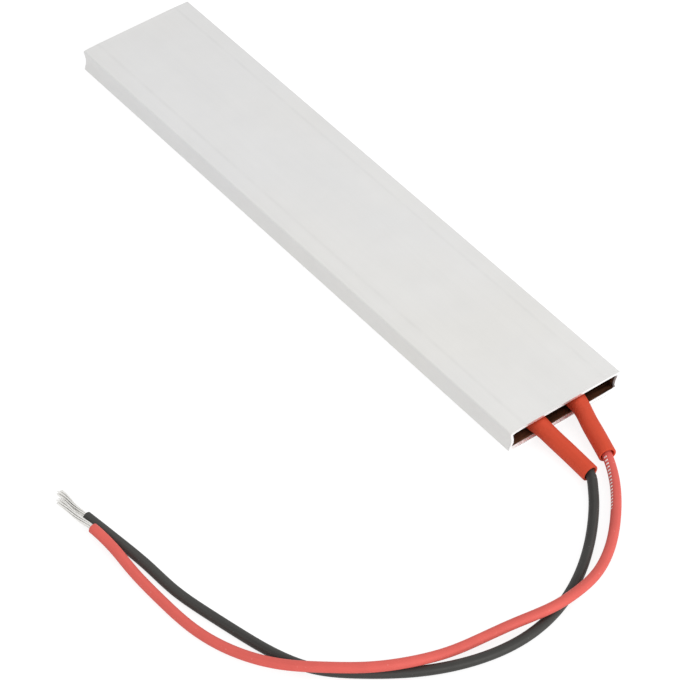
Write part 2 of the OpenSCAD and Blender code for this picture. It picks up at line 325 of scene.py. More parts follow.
class Effects:
    """The shader effects that several finishes share, each built once as a node group."""

    def __init__(self) -> None:
        """Builds the groups, with the values that an input has where nothing feeds it."""
        self.drawn_lines = self._group("Drawn lines", Puts.HEIGHT, self._drawn_lines,
                                       Across=2500.0, Along=30.0)
        self.mottling = self._group("Mottling", Puts.COLOUR, self._mottling,
                                    Scale=100.0, Colour=MID_GREY, Amount=0.03)
        self.grain = self._group("Grain", Puts.HEIGHT, self._grain, Scale=4000.0)
        self.dust = self._group("Dust", Puts.COLOUR, self._dust,
                                Scale=2200.0, Colour=MID_GREY, Dust=PALE_GREY, Amount=0.5)

    @staticmethod
    def _group(name: str, puts: Puts, fill: Callable[[Graph, Given], Socket],
               **inputs: object) -> bpy.types.NodeTree:
        """Makes a group with its sockets and fills it.

        Args:
            name: The group's name.
            puts: What it puts out.
            fill: Builds that from the graph and the inputs.
            inputs: The inputs after Vector, each with a number or an RGBA colour.

        Returns:
            The group.
        """
        tree = bpy.data.node_groups.new(name, "ShaderNodeTree")
        sockets = tree.interface
        sockets.new_socket(name="Vector", in_out="INPUT", socket_type="NodeSocketVector")
        for label, value in inputs.items():
            kind = "NodeSocketFloat" if isinstance(value, float) else "NodeSocketColor"
            sockets.new_socket(name=label, in_out="INPUT",
                               socket_type=kind).default_value = value
        output, kind = puts.value
        sockets.new_socket(name=output, in_out="OUTPUT", socket_type=kind)
        graph = Graph(tree)
        result = fill(graph, graph.add("NodeGroupInput").outputs)
        graph.feed(graph.add("NodeGroupOutput").inputs[output], result)
        return tree

    @staticmethod
    def _drawn_lines(graph: Graph, given: Given) -> Socket:
        """Builds fine lines along the first axis, as a die leaves on drawn metal.

        Args:
            graph: The group's graph.
            given: Its inputs.

        Returns:
            The lines' height.
        """
        stretch = graph.combine(given["Along"], given["Across"], given["Across"])
        place = graph.vector("MULTIPLY", given["Vector"], stretch)
        return graph.weighted((graph.speckle(place, scale=1.0, detail=2.0), 0.45),
                              (graph.speckle(place, scale=0.21, detail=2.0), 0.55))

    @staticmethod
    def _mottling(graph: Graph, given: Given) -> Socket:
        """Builds slow changes of brightness over a surface.

        Args:
            graph: The group's graph.
            given: Its inputs.

        Returns:
            The colour with these changes.
        """
        cloud = graph.speckle(given["Vector"], given["Scale"], detail=4.0, roughness=0.6)
        change = graph.times(graph.remap(cloud, 0.25, 0.75, -1.0, 1.0), given["Amount"])
        return graph.vector("SCALE", given["Colour"], graph.math("ADD", change, 1.0))

    @staticmethod
    def _grain(graph: Graph, given: Given) -> Socket:
        """Builds the fine skin of a moulded or extruded surface.

        Args:
            graph: The group's graph.
            given: Its inputs.

        Returns:
            The grain's height.
        """
        fine = graph.speckle(given["Vector"], given["Scale"], detail=3.0, roughness=0.6)
        coarse = graph.speckle(given["Vector"], graph.times(given["Scale"], 0.14), detail=2.0)
        return graph.weighted((fine, 0.35), (coarse, 0.65))

    @staticmethod
    def _dust(graph: Graph, given: Given) -> Socket:
        """Builds sparse pale specks, as lint leaves on silicone and on matt metal.

        Args:
            graph: The group's graph.
            given: Its inputs.

        Returns:
            The colour with the specks on it.
        """
        cloud = graph.speckle(given["Vector"], given["Scale"], detail=1.0, roughness=0.4)
        specks = graph.times(graph.remap(cloud, 0.74, 0.8, 0.0, 1.0), given["Amount"])
        return graph.blend(specks, given["Colour"], given["Dust"])


# --- finishes


@dataclass(frozen=True)
class Finish:
    """What every finish has.

    Attributes:
        name: The material's name.
        colour: The main colour, linear.
        roughness: The shader's own roughness, or the middle of what it varies by.
    """

    name: str
    colour: Colour
    roughness: float

    def build(self, effects: Effects) -> bpy.types.Material:
        """Builds the material round one Principled BSDF.

        Args:
            effects: The shared node groups.

        Returns:
            The material.
        """
        material = bpy.data.materials.new(self.name)
        material.use_nodes = True
        graph = Graph(material.node_tree)
        shader = graph.add("ShaderNodeBsdfPrincipled")
        plain = {"Base Color": rgba(self.colour), "Roughness": self.roughness}
        for name, value in (plain | self.looks(graph, effects)).items():
            graph.feed(shader.inputs[name], value)
        output = graph.add("ShaderNodeOutputMaterial")
        graph.feed(output.inputs["Surface"], shader.outputs["BSDF"])
        return material

    def looks(self, graph: Graph, effects: Effects) -> dict[str, object]:
        """Builds what the finish is made of.

        Args:
            graph: The material's graph.
            effects: The shared node groups.

        Returns:
            A socket or a plain value for each input of the shader that the finish sets.
        """
        raise NotImplementedError

    def mottled(self, graph: Graph, effects: Effects, place: Socket, scale: float,
                amount: float) -> Socket:
        """The main colour with slow changes of brightness."""
        return graph.effect(effects.mottling, Vector=place, Scale=scale,
                            Colour=rgba(self.colour), Amount=amount)

    def rough(self, graph: Graph, height: Socket, less: float, more: float) -> Socket:
        """The roughness, which follows a height down and up."""
        return graph.swing(height, self.roughness - less, self.roughness + more)


@dataclass(frozen=True)
class DrawnAluminium(Finish):
    """Matt extruded aluminium with die lines and painted shade along the edges of the pressed
    band.

    Attributes:
        metallic: Share of the metal's own reflection.
        specular: Strength of the clear reflection over the rest.
        band_edge: Distance of the pressed band's edge from the middle, in millimetres.
        edge_run: How far that edge's shade reaches to each side.
        line_shade: How much the die lines change the brightness.
        painted_crease_shade: How much darker the painted shade makes the band's edge.
        warm_tint: Tint of the warmer patches.
        warm_reach: Distance from the middle at which an end is as warm or cool as it gets.
        lint: Colour of the dust on it.
    """

    metallic: float = 0.3
    specular: float = 0.3
    band_edge: float = 7.8
    edge_run: float = 0.45
    line_shade: float = 0.016
    painted_crease_shade: float = 0.045
    warm_tint: Colour = (1.0, 0.99, 0.962)
    warm_reach: float = 40.0
    lint: Colour = (0.86, 0.86, 0.85)

    def looks(self, graph: Graph, effects: Effects) -> dict[str, object]:
        """Builds the die lines, the painted shade at the band's edges, the warm patches and the
        lint.

        Args:
            graph: The material's graph.
            effects: The shared node groups.

        Returns:
            What feeds each input of the shader.
        """
        place = graph.on_object()
        along, across, _ = graph.axes(place)
        lines = graph.effect(effects.drawn_lines, Vector=place, Across=1900.0, Along=26.0)
        # Painted shade: a soft, broken darker line along the crease at each edge of the pressed
        # band.
        off_edge = graph.math("ABSOLUTE", graph.math(
            "SUBTRACT", graph.math("ABSOLUTE", across), self.band_edge * MM))
        near_edge = graph.remap(off_edge, 0.0, self.edge_run * MM, 1.0, 0.0)
        broken = graph.remap(graph.speckle(place, scale=240.0), 0.35, 0.6, 0.25, 1.0)
        press = graph.times(near_edge, broken, -self.painted_crease_shade)
        shade = graph.times(graph.vary(lines, 1.0, self.line_shade),
                            graph.math("ADD", press, 1.0))
        toned = graph.vector(
            "SCALE", self.mottled(graph, effects, place, scale=130.0, amount=0.018), shade)
        reach = self.warm_reach * MM
        warmth = graph.math("ADD", graph.remap(along, -reach, reach, 0.0, 0.6),
                            graph.vary(graph.speckle(place, scale=45.0, detail=2.0), 0.0, 0.3))
        tint = graph.blend(warmth, WHITE, rgba(self.warm_tint))
        dusty = graph.effect(effects.dust, Vector=place, Scale=1500.0,
                             Colour=graph.vector("MULTIPLY", toned, tint),
                             Dust=rgba(self.lint), Amount=0.18)
        grain = graph.effect(effects.grain, Vector=place, Scale=5200.0)
        height = graph.weighted((lines, 0.7), (grain, 0.5))
        return {"Base Color": dusty, "Roughness": self.rough(graph, lines, less=0.06, more=0.08),
                "Normal": graph.relief(height, depth=0.012, strength=0.5),
                "Metallic": self.metallic, "Specular IOR Level": self.specular}


@dataclass(frozen=True)
class SheetMetal(Finish):
    """Rolled or cut sheet: electrode strip, crimp band or the tube's sawn rim.

    Attributes:
        metallic: Share of the metal's own reflection.
        across: How fine the lines are, per metre across them.
        depth: Depth of the lines in millimetres.
        tone: How much the lines change the brightness.
    """

    metallic: float = 1.0
    across: float = 5200.0
    depth: float = 0.01
    tone: float = 0.08

    def looks(self, graph: Graph, effects: Effects) -> dict[str, object]:
        """Builds the rolled or sawn lines.

        Args:
            graph: The material's graph.
            effects: The shared node groups.

        Returns:
            What feeds each input of the shader.
        """
        place = graph.on_object()
        lines = graph.effect(effects.drawn_lines, Vector=place, Across=self.across, Along=180.0)
        clouds = self.mottled(graph, effects, place, scale=420.0, amount=0.06)
        return {"Base Color": graph.vector("SCALE", clouds, graph.vary(lines, 1.0, self.tone)),
                "Roughness": self.rough(graph, lines, less=0.07, more=0.09),
                "Normal": graph.relief(lines, self.depth, strength=0.6),
                "Metallic": self.metallic}


@dataclass(frozen=True)
class AmberFilm(Finish):
    """Amber insulating film: creased across the tube, dark where cut, with painted shade deep
    inside.

    Attributes:
        edge_colour: Colour of the cut edge.
        edge_x: Where the cut edge starts, in millimetres from the middle of the tube.
        edge_soft: Over what distance its colour comes in.
        slant: How far the cut runs out for each millimetre upwards.
        painted_shade_run: Over what distance the painted shade gives way towards that edge, so
            the film grows paler.
        specular: Strength of the gloss.
    """

    edge_colour: Colour = (0.03, 0.012, 0.008)
    edge_x: float = 54.27
    edge_soft: float = 0.05
    slant: float = 0.09
    painted_shade_run: float = 1.9
    specular: float = 0.35

    def looks(self, graph: Graph, effects: Effects) -> dict[str, object]:
        """Builds the creases, the painted shade that pales towards the mouths, and the cut edge.

        Args:
            graph: The material's graph.
            effects: The shared node groups.

        Returns:
            What feeds each input of the shader.
        """
        place = graph.on_object()
        along, across, up = graph.axes(place)
        streaks = graph.effect(effects.drawn_lines, Vector=graph.combine(across, along, up),
                               Across=2600.0, Along=260.0)
        # Painted shade: the film is darkened deep inside the tube and made paler near either
        # mouth, where light reaches in.
        painted_depth_shade = graph.remap(graph.math("ABSOLUTE", along), (self.edge_x - self.painted_shade_run) * MM,
                             self.edge_x * MM, 0.02, 2.1)
        shade = graph.times(graph.remap(streaks, 0.38, 0.62, 0.3, 1.9), painted_depth_shade)
        clouds = self.mottled(graph, effects, place, scale=600.0, amount=0.25)
        reach = graph.math("SUBTRACT", along, graph.times(up, self.slant))
        edge = graph.remap(reach, self.edge_x * MM, (self.edge_x + self.edge_soft) * MM, 0.0, 1.0)
        return {"Base Color": graph.blend(edge, graph.vector("SCALE", clouds, shade),
                                          rgba(self.edge_colour)),
                "Normal": graph.relief(streaks, depth=0.03, strength=0.5),
                "Specular IOR Level": self.specular}


@dataclass(frozen=True)
class TickMarks:
    """A row of plain ticks along a lead, in millimetres and degrees.

    Attributes:
        first: Where the row starts along the lead.
        last: Where it ends.
        pitch: Distance from tick to tick.
        share: Share of the pitch that is a tick.
        angle: Place of the row around the lead where it starts.
        drift: How far the row turns round the lead for each millimetre along it.
        spread: Half the row's width around the lead.
        colour: Colour of the ticks.
    """

    first: float
    last: float
    pitch: float
    share: float
    angle: float
    drift: float
    spread: float
    colour: Colour = (1.0, 0.96, 0.95)

    def mask(self, graph: Graph, place: Socket) -> Socket:
        """Builds the mask of the row.

        Args:
            graph: The material's graph.
            place: The lead's own coordinates.

        Returns:
            The mask's socket.
        """
        along, side, up = graph.axes(place)
        turn = graph.math("ARCTAN2", up, side)
        middle = graph.remap(along, self.first * MM, self.last * MM, math.radians(self.angle),
                             math.radians(self.angle + self.drift * (self.last - self.first)))
        off = graph.math("ABSOLUTE", graph.math("SUBTRACT", turn, middle))
        beat = graph.math("FRACT", graph.math("DIVIDE", along, self.pitch * MM))
        worn = graph.remap(graph.speckle(place, scale=5200.0, detail=2.0), 0.36, 0.46, 0.35, 1.0)
        return graph.times(graph.math("GREATER_THAN", along, self.first * MM),
                           graph.math("LESS_THAN", along, self.last * MM),
                           graph.math("LESS_THAN", off, math.radians(self.spread)),
                           graph.math("LESS_THAN", beat, self.share), worn)


@dataclass(frozen=True)
class Silicone(Finish):
    """Extruded silicone rubber: matt on the sleeves, satin on the leads.

    Attributes:
        specular: Strength of the gloss.
        streak: How much the extrusion streaks change the brightness.
        grain_depth: Depth of the skin's grain in millimetres.
        dust: Colour of the lint on it.
        dust_amount: How strong the lint is.
        marks: A row of ticks, if there is one.
    """

    specular: float = 0.3
    streak: float = 0.04
    grain_depth: float = 0.02
    dust: Colour = (0.8, 0.5, 0.45)
    dust_amount: float = 0.3
    marks: Optional[TickMarks] = None

    def looks(self, graph: Graph, effects: Effects) -> dict[str, object]:
        """Builds the streaks, the lint, the grain and the ticks.

        Args:
            graph: The material's graph.
            effects: The shared node groups.

        Returns:
            What feeds each input of the shader.
        """
        place = graph.on_route()
        lines = graph.effect(effects.drawn_lines, Vector=place, Across=1700.0, Along=60.0)
        clouds = self.mottled(graph, effects, place, scale=380.0, amount=0.05)
        toned = graph.vector("SCALE", clouds, graph.vary(lines, 1.0, self.streak))
        colour = graph.effect(effects.dust, Vector=place, Scale=2600.0, Colour=toned,
                              Dust=rgba(self.dust), Amount=self.dust_amount)
        if self.marks is not None:
            colour = graph.blend(self.marks.mask(graph, place), colour, rgba(self.marks.colour))
        grain = graph.effect(effects.grain, Vector=place, Scale=6500.0)
        return {"Base Color": colour, "Roughness": self.rough(graph, grain, less=0.05, more=0.07),
                "Normal": graph.relief(grain, self.grain_depth, strength=0.6),
                "Specular IOR Level": self.specular}


@dataclass(frozen=True)
class TinnedWire(Finish):
    """Bright tinned copper wire, a little duller and darker in places."""

    def looks(self, graph: Graph, effects: Effects) -> dict[str, object]:
        """Builds the drawn lines and the duller places.

        Args:
            graph: The material's graph.
            effects: The shared node groups.

        Returns:
            What feeds each input of the shader.
        """
        place = graph.on_route()
        lines = graph.effect(effects.drawn_lines, Vector=place, Across=14000.0, Along=600.0)
        return {"Base Color": self.mottled(graph, effects, place, scale=1800.0, amount=0.12),
                "Roughness": self.rough(graph, lines, less=0.08, more=0.1),
                "Normal": graph.relief(lines, depth=0.006, strength=0.5), "Metallic": 1.0}


@dataclass(frozen=True)
class FiredCeramic(Finish):
    """Unglazed fired ceramic with pores."""

    def looks(self, graph: Graph, effects: Effects) -> dict[str, object]:
        """Builds the mottled body and its pores.

        Args:
            graph: The material's graph.
            effects: The shared node groups.

        Returns:
            What feeds each input of the shader.
        """
        place = graph.on_object()
        grain = graph.effect(effects.grain, Vector=place, Scale=3600.0)
        return {"Base Color": self.mottled(graph, effects, place, scale=700.0, amount=0.14),
                "Normal": graph.relief(grain, depth=0.05, strength=0.7)}


# --- routes and skins


@dataclass(frozen=True)
class Route:
    """A smooth cubic curve over guide points, in millimetres.

    Attributes:
        points: The guide points. The curve starts and ends at the first and last ones.
    """

    points: tuple[Vector, ...]

    def guide(self, i: int) -> Vector:
        """Finds a guide point, carried on straight past both ends.

        Args:
            i: Its number.

        Returns:
            The point.
        """
        last = len(self.points) - 1
        if i < 0:
            return 2 * self.points[0] - self.points[1]
        if i > last:
            return 2 * self.points[last] - self.points[last - 1]
        return self.points[i]

    def at(self, u: float) -> Vector:
        """Finds a point of the curve.

        Args:
            u: The place, counted in guide points.

        Returns:
            The point.
        """
        i = min(int(u), len(self.points) - 2)
        t = u - i
        return ((1 - t) ** 3 * self.guide(i - 1)
                + (3 * t ** 3 - 6 * t ** 2 + 4) * self.guide(i)
                + (-3 * t ** 3 + 3 * t ** 2 + 3 * t + 1) * self.guide(i + 1)
                + t ** 3 * self.guide(i + 2)) / 6

    def heading(self, u: float) -> Vector:
        """Finds the curve's direction.

        Args:
            u: The place on the curve.

        Returns:
            A vector of length 1.
        """
        step = 0.01
        ahead = self.at(min(u + step, len(self.points) - 1))
        return (ahead - self.at(max(u - step, 0.0))).normalized()

    def axes(self, u: float) -> tuple[Vector, Vector, Vector]:
        """Finds the cross-section's axes.

        Args:
            u: The place on the curve.

        Returns:
            The heading, the level direction to its side, and the upward one.
        """
        heading = self.heading(u)
        side = heading.cross(Vector((0.0, 0.0, 1.0))).normalized()
        return heading, side, side.cross(heading)


class Ruler:
    """Turns distances along a route into places on it."""

    STEPS = 24

    def __init__(self, route: Route, first: float, last: float) -> None:
        """Measures a stretch of a route.

        Args:
            route: The route.
            first: Place where the stretch starts.
            last: Place where it ends.
        """
        count = max(2, round((last - first) * self.STEPS) + 1)
        self.places = [first + (last - first) * i / (count - 1) for i in range(count)]
        self.marks = [0.0]
        for before, after in zip(self.places, self.places[1:]):
            self.marks.append(self.marks[-1] + (route.at(after) - route.at(before)).length)

    @property
    def length(self) -> float:
        """Length of the stretch in millimetres."""
        return self.marks[-1]

    def place(self, distance: float) -> float:
        """Finds a place on the route.

        Args:
            distance: Millimetres from the start of the stretch.

        Returns:
            The place, counted in guide points.
        """
        i = min(max(bisect_left(self.marks, distance), 1), len(self.marks) - 1)
        low, high = self.marks[i - 1], self.marks[i]
        share = (distance - low) / (high - low)
        return self.places[i - 1] + share * (self.places[i] - self.places[i - 1])


@dataclass(frozen=True)
class Station:
    """One ring of a skin.

    Attributes:
        distance: Millimetres along the route.
        inset: How far the ring is set in from the outside, in millimetres.
    """

    distance: float
    inset: float = 0.0


def run_of(first: float, last: float, count: int, inset: float = 0.0) -> list[Station]:
    """A number of rings with one inset, evenly spaced from a first to a last distance."""
    return [Station(first + (last - first) * i / (count - 1), inset) for i in range(count)]


def grow(mesh: Mesh, rim: Sequence[Edge], step: float) -> list[Edge]:
    """Extrudes a rim along +X.

    Args:
        mesh: The mesh.
        rim: The edges of the rim.
        step: How far they move.

    Returns:
        The edges of the new rim.
    """
    grown = bmesh.ops.extrude_edge_only(mesh, edges=list(rim))["geom"]
    fresh = {item for item in grown if isinstance(item, bmesh.types.BMVert)}
    bmesh.ops.translate(mesh, vec=(step, 0.0, 0.0), verts=list(fresh))
    return [item for item in grown if isinstance(item, Edge) and fresh.issuperset(item.verts)]


def straight_tube(rings: int, sides: int) -> Mesh:
    """Grows an open tube of unit radius along +X, with a ring at each whole number.

    Args:
        rings: How many rings it has.
        sides: How many points each ring has.

    Returns:
        The tube.
    """
    tube = bmesh.new()
    bmesh.ops.create_circle(tube, cap_ends=False, radius=1.0, segments=sides,
                            matrix=Matrix.Rotation(math.pi / 2, 4, "Y"))
    rim = list(tube.edges)
    for _ in range(rings - 1):
        rim = grow(tube, rim, 1.0)
    return tube


Section = Callable[[Station, float, float], Pair]


def lay_skin(route: Route, ruler: Ruler, stations: Sequence[Station], sides: int,
             section: Section) -> Mesh:
    """Bends a straight tube along a route, and keeps its straight coordinates on it.

    Args:
        route: The route.
        ruler: The measured stretch of the route.
        stations: The tube's rings.
        sides: How many points each ring has.
        section: Gives the section's point for a ring and a point of the unit circle.

    Returns:
        The tube, open at both ends.
    """
    tube = straight_tube(len(stations), sides)
    layer = tube.verts.layers.float_vector.new(UNBENT)
    places = []
    for ring in stations:
        reach = clamp(ring.distance, 0.0, ruler.length)
        u = ruler.place(reach)
        places.append((route.at(u), *route.axes(u), ring.distance - reach))
    for vert in tube.verts:
        ring = stations[round(vert.co.x)]
        centre, heading, side, up, over = places[round(vert.co.x)]
        across, rise = section(ring, vert.co.y, vert.co.z)
        vert[layer] = Vector((ring.distance, across, rise)) * MM
        vert.co = centre + over * heading + across * side + rise * up
    return tube


def rim_edges(mesh: Mesh) -> list[Edge]:
    """The edges that have only one face."""
    return [edge for edge in mesh.edges if len(edge.link_faces) == 1]


def fill_ends(tube: Mesh) -> None:
    """Fills a tube's open ends and points its faces outwards."""
    bmesh.ops.holes_fill(tube, edges=rim_edges(tube), sides=0)
    bmesh.ops.recalc_face_normals(tube, faces=list(tube.faces))


def draw_loop(mesh: Mesh, x: float,
              right: Sequence[Pair]) -> tuple[list[bmesh.types.BMVert], list[Edge]]:
    """Draws a closed section across the tube.

    Args:
        mesh: The mesh to add it to.
        x: Its place along the tube.
        right: The section's right half, upwards.

    Returns:
        The section's corners, all the way round, and the edges between them.
    """
    whole = [*right, *((-y, z) for y, z in reversed(right))]
    ring = [mesh.verts.new((x, y, z)) for y, z in whole]
    return ring, [mesh.edges.new(ends) for ends in zip(ring, ring[1:] + ring[:1])]


def mark_sharp(mesh: Mesh, degrees: float) -> None:
    """Shades a mesh smooth but for its sharp edges.

    Args:
        mesh: The mesh.
        degrees: The angle from which an edge is sharp.
    """
    for face in mesh.faces:
        face.smooth = True
    for edge in mesh.edges:
        if len(edge.link_faces) == 2:
            edge.smooth = edge.calc_face_angle(0.0) < math.radians(degrees)


def placed(mesh: Mesh, name: str,
           materials: Sequence[bpy.types.Material]) -> bpy.types.Object:
    """Puts a mesh in the scene.

    Args:
        mesh: The mesh in metres, which is freed.
        name: The object's name.
        materials: Its materials in slot order.

    Returns:
        The object.
    """
    data = bpy.data.meshes.new(name)
    mesh.to_mesh(data)
    mesh.free()
    for material in materials:
        data.materials.append(material)
    shown = bpy.data.objects.new(name, data)
    bpy.context.scene.collection.objects.link(shown)
    return shown


def finished(mesh: Mesh, name: str, materials: Sequence[bpy.types.Material],
             degrees: float) -> bpy.types.Object:
    """Turns a mesh in millimetres into a piece in metres that rides on the part.

    Args:
        mesh: The mesh, which is freed.
        name: The piece's name.
        materials: Its materials in slot order.
        degrees: The angle from which an edge is sharp.

    Returns:
        The piece.
    """
    mark_sharp(mesh, degrees)
    bmesh.ops.scale(mesh, vec=(MM, MM, MM), verts=list(mesh.verts))
    piece = placed(mesh, name, materials)
    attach(piece, BODY)
    LOG.info("%s: %d faces", name, len(piece.data.polygons))
    return piece


# --- the tube and its film


@dataclass
class PressedTube:
    """The aluminium tube with its creased sides and its two sawn mouths, in millimetres.

    Attributes:
        hair: How far each side stays inside the solid's.
        crease_depth: How far a side is folded in at half its height.
        margin_drop: How far a face drops from the pressed band to its long edge.
        band_half: Half the width of that band.
        web_width: Width of the web in each upper corner of the cavity.
        lip_low: Height where the fuller lip below a crease starts.
        lip_lift: How much higher it lies on the inside.
        lip_bulge: How much fuller it is.
        mouth_bevel: Bevel of the floor's lip at the mouth of the leads.
        mouth_slant: How far the saw cut there leans over the tube's height.
        end_zone: How near a mouth a point belongs to it.
    """

    length: float = 110.0
    width: float = 21.2
    height: float = 4.3
    wall: float = 0.45
    hair: float = 0.006
    edge_radius: float = 0.25
    crease_depth: float = 0.35
    margin_drop: float = 0.1
    band_half: float = 7.9
    web_width: float = 0.6
    web_height: float = 0.15
    lip_low: float = 0.6
    lip_high: float = 1.3
    lip_lift: float = 0.4
    lip_bulge: float = 0.05
    crease_round: float = 0.3
    band_round: float = 0.5
    rim_round: float = 0.05
    mouth_bevel: float = 0.3
    mouth_slant: float = 0.4
    end_zone: float = 1.0
    sharp_from: float = 24.0

    @property
    def half(self) -> float:
        """Half the tube's width, a hair inside the solid's."""
        return self.width / 2 - self.hair

    @property
    def cavity_half(self) -> float:
        """Half the cavity's width."""
        return self.half - self.wall

    @property
    def side_lean(self) -> float:
        """Finds how far a side leans above or below its crease.

        Returns:
            The angle from upright, in radians.
        """
        across = self.crease_depth - self.edge_radius
        rise = self.height / 2 - self.margin_drop - self.edge_radius
        return math.atan2(across, rise) + math.asin(self.edge_radius / math.hypot(across, rise))

    @property
    def corner_y(self) -> float:
        """Where a side would meet the flat face if the long edge were sharp."""
        rise = self.height / 2 - self.margin_drop
        return self.half - self.crease_depth + rise * math.tan(self.side_lean)

    @property
    def corner_reach(self) -> float:
        """How far from that place the rounding starts."""
        return self.edge_radius * (math.tan(self.side_lean) + 1 / math.cos(self.side_lean))

    def drop(self, y: float) -> float:
        """How far a pressed face has dropped at a distance from the middle."""
        run = self.half - self.edge_radius - self.band_half
        return self.margin_drop * clamp((y - self.band_half) / run)

    def lower_side(self, y: float, lift: float = 0.0) -> list[Pair]:
        """Shapes a side below its crease, where the press leaves a fuller lip.

        Args:
            y: The side's distance from the middle, away from the crease.
            lift: How much higher the lip lies.

        Returns:
            The lip's two points, upwards.
        """
        rise = self.height / 2 - self.margin_drop
        points = []
        for z, bulge in ((self.lip_low + lift, self.lip_bulge),
                         (self.lip_high + lift, -self.lip_bulge)):
            folded = self.crease_depth * (z - self.margin_drop) / rise
            points.append((y - folded + bulge, z))
        return points

    def outline(self) -> list[Pair]:
        """Shapes the outside, with sharp corners.

        Returns:
            The right half, upwards.
        """
        web_y = self.cavity_half - self.web_width
        return [(self.band_half, 0.0), (self.corner_y, self.margin_drop),
                *self.lower_side(self.half),
                (self.half - self.crease_depth, self.height / 2),
                (self.corner_y, self.height - self.margin_drop),
                (web_y, self.height - self.drop(web_y)), (self.band_half, self.height)]

    def cavity(self) -> list[Pair]:
        """Shapes the inside, with a web in the upper corner.

        Returns:
            The right half, upwards.
        """
        web_y = self.cavity_half - self.web_width
        top = self.height - self.wall
        return [(self.band_half, self.wall), (self.cavity_half, self.wall + self.margin_drop),
                *self.lower_side(self.cavity_half, self.lip_lift),
                (self.cavity_half - self.crease_depth, self.height / 2),
                (self.cavity_half, top - self.margin_drop - self.web_height),
                (web_y, top - self.drop(web_y)), (self.band_half, top)]

    def wall_sheet(self, mesh: Mesh, right: Sequence[Pair]) -> list[bmesh.types.BMVert]:
        """Draws one closed section at the far mouth and extrudes it to the near one.

        Args:
            mesh: The mesh to add it to.
            right: The section's right half.

        Returns:
            The corners of the section at the far mouth, all the way round.
        """
        ring, edges = draw_loop(mesh, -self.length / 2, right)
        grow(mesh, edges, self.length)
        return ring

    @staticmethod
    def close_rims(mesh: Mesh, outer: Sequence[bmesh.types.BMVert],
                   inner: Sequence[bmesh.types.BMVert]) -> None:
        """Closes the wall at both mouths, side by side, from the outside to the inside.

        Args:
            mesh: The tube.
            outer: The outside's corners at the far mouth.
            inner: The inside's corners at the far mouth.
        """
        across = [[next(edge.other_vert(vert) for edge in vert.link_edges
                        if edge.other_vert(vert).co.x > 0) for vert in ring]
                  for ring in (outer, inner)]
        for first, second in ((outer, inner), across):
            for i in range(len(first)):
                sides = [mesh.edges.get((ring[i - 1], ring[i])) for ring in (first, second)]
                bmesh.ops.bridge_loops(mesh, edges=sides)

    def long_edges(self, mesh: Mesh, y: float, heights: Sequence[float]) -> list[Edge]:
        """Finds edges that run along the tube.

        Args:
            mesh: The tube.
            y: Their distance from the middle.
            heights: Their heights.

        Returns:
            The edges on both sides of the tube.
        """
        found = []
        for edge in mesh.edges:
            first, second = (vert.co for vert in edge.verts)
            if abs(first.x - second.x) < self.end_zone or abs(abs(first.y) - y) > CLOSE:
                continue
            if any(abs(first.z - z) < CLOSE for z in heights):
                found.append(edge)
        return found

    @staticmethod
    def soften(mesh: Mesh, edges: Sequence[Edge], size: float, segments: int) -> None:
        """Rounds edges by a size in millimetres, with a number of faces across the rounding."""
        bmesh.ops.bevel(mesh, geom=list(edges), offset=size, offset_type="OFFSET",
                        segments=segments, profile=0.5, affect="EDGES", material=-1,
                        clamp_overlap=True)

    def open_mouth(self, mesh: Mesh) -> None:
        """Bevels the floor's lip at the mouth that the leads leave by, and slants the saw cut.

        Args:
            mesh: The tube, whose bevelled faces get the sawn finish.
        """
        end, low = self.length / 2, self.wall + self.margin_drop + CLOSE
        lip = [edge for edge in mesh.edges
               if all(abs(vert.co.x - end) < CLOSE and self.wall - CLOSE < vert.co.z < low
                      for vert in edge.verts)]
        made = bmesh.ops.bevel(mesh, geom=lip, offset=self.mouth_bevel, offset_type="OFFSET",
                               segments=1, profile=0.5, affect="EDGES", material=-1)
        for face in made["faces"]:
            face.material_index = 1
        for vert in mesh.verts:
            if vert.co.x > end - self.end_zone:
                vert.co.x -= self.mouth_slant * (1.0 - vert.co.z / self.height)

    def saw(self, mesh: Mesh, end: int) -> None:
        """Gives a sawn rim its finish and rounds its edges.

        Args:
            mesh: The tube.
            end: 1 for the mouth of the leads and -1 for the other.
        """
        square_on, along_side = 0.99, 0.5
        faces = [face for face in mesh.faces if face.normal.x * end > square_on]
        for face in faces:
            face.material_index = 1
        lips = {edge for face in faces for edge in face.edges
                if any(abs(other.normal.x) < along_side for other in edge.link_faces)}
        self.soften(mesh, lips, self.rim_round, 2)

    def build(self, skin: bpy.types.Material, rim: bpy.types.Material) -> bpy.types.Object:
        """Builds the tube.

        Args:
            skin: The drawn surface.
            rim: The sawn ends.

        Returns:
            The finished piece.
        """
        mesh = bmesh.new()
        outside = self.wall_sheet(mesh, self.outline())
        inside = self.wall_sheet(mesh, self.cavity())
        self.close_rims(mesh, outside, inside)
        bmesh.ops.recalc_face_normals(mesh, faces=list(mesh.faces))
        mid, top = self.height / 2, self.height - self.margin_drop
        for y, heights, size, segments in (
                (self.corner_y, (self.margin_drop, top), self.corner_reach, 6),
                (self.half - self.crease_depth, (mid,), self.crease_round, 4),
                (self.cavity_half - self.crease_depth, (mid,), self.crease_round, 4),
                (self.band_half, (0.0, self.height), self.band_round, 3)):
            self.soften(mesh, self.long_edges(mesh, y, heights), size, segments)
        self.open_mouth(mesh)
        for end in (-1, 1):
            self.saw(mesh, end)
        piece = finished(mesh, "pressed_tube", [skin, rim], self.sharp_from)
        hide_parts("aluminium_tube")
        return piece


